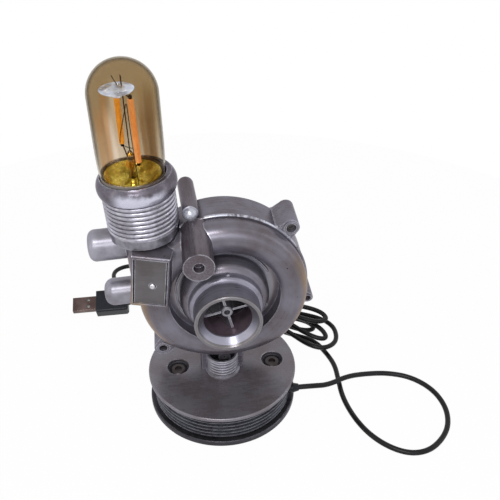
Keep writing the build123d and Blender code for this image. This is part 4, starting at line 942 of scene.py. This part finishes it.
glass_colour, glass_clearness = amber_tint(glass_tree)
feed(glass_tree, glass_shader, {"Base Color": glass_colour, "Transmission Weight": glass_clearness})
print("streaks in the glass:", len(PAINTED_REFLECTION_STREAKS))

# %% [markdown]
# Each CAD node takes its finish here, by the name of its slot in the record, and then a few visible
# nodes get a finish of their own.

# %% Dress the CAD nodes
by_slot = {
    "aged_metal": silver["cast_silver"], "dark_metal": silver["dark_silver"],
    "bright_metal": silver["bright_silver"], "grey_plate": silver["plate_silver"],
    "filament": plain["phosphor_orange"], "amber_glass": amber_glass, "clear_glass": clear_glass,
}
for slot_name in ("fastener_steel", "bush_bronze", "black_plastic", "brass", "nickel",
                  "white_plastic", "cord_rubber", "foot_rubber"):
    by_slot[slot_name] = plain[slot_name]
own_finish = {
    "scroll_housing": silver["scroll_silver"], "inlet_pipe": silver["pipe_silver"],
    "inlet_collar": silver["turned_silver"], "retaining_ring": silver["turned_silver"],
    "compressor_wheel": silver["wheel_silver"], "back_plate": silver["plate_bead_silver"],
    "base_top_plate": silver["base_silver"], "base_bottom_flange": silver["flange_silver"],
    "valve_barrel": silver["brown_silver"], "rear_tube": silver["ball_silver"],
    "holder_body": silver["thread_silver"], "shade_ring": silver["ring_silver"],
    "base_bolts": plain["bolt_brown"], "switch_button": plain["bright_steel"],
    "holder_insulator": plain["seat_plastic"],
}
for bright_name in ("column_tube", "stem_rod", "stem_nut", "upper_side_stub", "lower_side_stub"):
    own_finish[bright_name] = silver["bright_silver"]
slot_of = {row["node"]: row["material_slot"] for row in frame["record"]["subparts"]}


def dress(piece, material):
    """Gives a piece one finish."""
    piece.data.materials.clear()
    piece.data.materials.append(material)


for name, node in nodes.items():
    dress(node, own_finish.get(name, by_slot[slot_of[name]]))
dress(cord, plain["cord_rubber"])
dress(glass, amber_glass)
dress(left_rod, plain["phosphor_yellow"])
dress(right_rod, plain["phosphor_orange"])
dress(dish, plain["gilding"])
dress(bead, plain["pearl"])
for piece in wires + tabs:
    dress(piece, plain["wire_metal"])
print("dressed", len(nodes), "nodes")

# %% [markdown]
# The lamp stands on a pale floor. It shows nearly plain white to the camera, in reflections and
# through glass, as the photograph's ground does. For the rest of the light it is matt, and the small
# share of that which the camera still sees gives the lamp a faint shadow. A shadow catcher would
# need a second step to lay the picture on white.

# %% Floor
WHITE = colour(1.0, 1.0, 1.0)
FLOOR_R = 0.42
FLOOR_SINK = 0.0002         # a hair below the base, so that the two faces don't fight


def white_where_seen(tree, most):
    """The share of plain white for rays that show a surface directly, and nothing for the rest."""
    path = add(tree, "ShaderNodeLightPath").outputs
    seen = maths(tree, "MAXIMUM", path["Is Camera Ray"],
                 maths(tree, "MAXIMUM", path["Is Glossy Ray"], path["Is Transmission Ray"]))
    return product(tree, seen, most)


floor_material = bpy.data.materials.new("pale_floor")
floor_material.use_nodes = True
floor_tree = floor_material.node_tree
floor_tree.nodes.clear()
matt = add(floor_tree, "ShaderNodeBsdfDiffuse", {"Color": colour(0.86, 0.86, 0.86)})
white = add(floor_tree, "ShaderNodeEmission", {"Color": WHITE, "Strength": 1.0})
floor_mix = add(floor_tree, "ShaderNodeMixShader", {
    0: white_where_seen(floor_tree, 0.97), 1: matt.outputs[0], 2: white.outputs[0]})
add(floor_tree, "ShaderNodeOutputMaterial", {"Surface": floor_mix.outputs[0]})
floor_work = bmesh.new()
bmesh.ops.create_circle(floor_work, cap_ends=True, segments=96, radius=FLOOR_R)
bmesh.ops.translate(floor_work, vec=(0, 0, -FLOOR_SINK), verts=floor_work.verts)
floor_mesh = bpy.data.meshes.new("pale_floor")
floor_work.to_mesh(floor_mesh)
floor_work.free()
floor = bpy.data.objects.new("pale_floor", floor_mesh)
scene.collection.objects.link(floor)
dress(floor, floor_material)
print("floor ready")

# %% [markdown]
# The world is the soft white room round the lamp. It too shows plain white where it is seen, by the
# same rule as the floor, and it lights the lamp at half that strength, because a full white sky
# would wash out the shading of the castings.

# %% World
world = bpy.data.worlds.new("studio")
world.use_nodes = True
scene.world = world
world_tree = world.node_tree
world_tree.nodes.clear()
soft_light = add(world_tree, "ShaderNodeBackground",
                 {"Color": colour(0.98, 0.99, 1.0), "Strength": 0.50})
plain_white = add(world_tree, "ShaderNodeBackground", {"Color": WHITE, "Strength": 1.0})
world_mix = add(world_tree, "ShaderNodeMixShader", {
    0: white_where_seen(world_tree, 1.0), 1: soft_light.outputs[0], 2: plain_white.outputs[0]})
add(world_tree, "ShaderNodeOutputWorld", {"Surface": world_mix.outputs[0]})
print("world ready")

# %% [markdown]
# Five rectangular lamps light the scene. The two above and in front make the long highlights on the
# castings and on the glass, a warm strip on the left and a plain one on the right edge them with
# light, and a large cool one behind the camera fills the shadows. Area lamps are used because only a
# lamp with a size of its own shows in polished metal.

# %% Lamps
AIM = (0.0, 0.0, 0.10)


def softbox(name, at, width, height, brightness, tone=(1.0, 1.0, 1.0)):
    """A rectangular lamp. Brightness is what a mirror would show of it, white paper being near 1."""
    data = bpy.data.lights.new(name, "AREA")
    data.shape = "RECTANGLE"
    data.size = width
    data.size_y = height
    data.energy = brightness * math.pi * width * height
    data.color = tone
    lamp = bpy.data.objects.new(name, data)
    lamp.location = at
    lamp.rotation_euler = (Vector(AIM) - Vector(at)).to_track_quat("-Z", "Y").to_euler()
    lamp.visible_camera = False
    scene.collection.objects.link(lamp)


softbox("camera_fill", (0.16, -0.95, 0.72), 0.70, 0.50, 1.3, (0.92, 0.94, 1.0))
softbox("top_box", (-0.16, -0.44, 0.80), 0.28, 0.12, 19.0)
softbox("front_wide", (-0.22, -0.90, 0.66), 0.50, 0.10, 12.0)
softbox("left_strip", (-0.62, -0.22, 0.34), 0.06, 0.60, 2.0, (1.0, 0.88, 0.77))
softbox("right_strip", (0.66, -0.10, 0.36), 0.05, 0.60, 2.5)
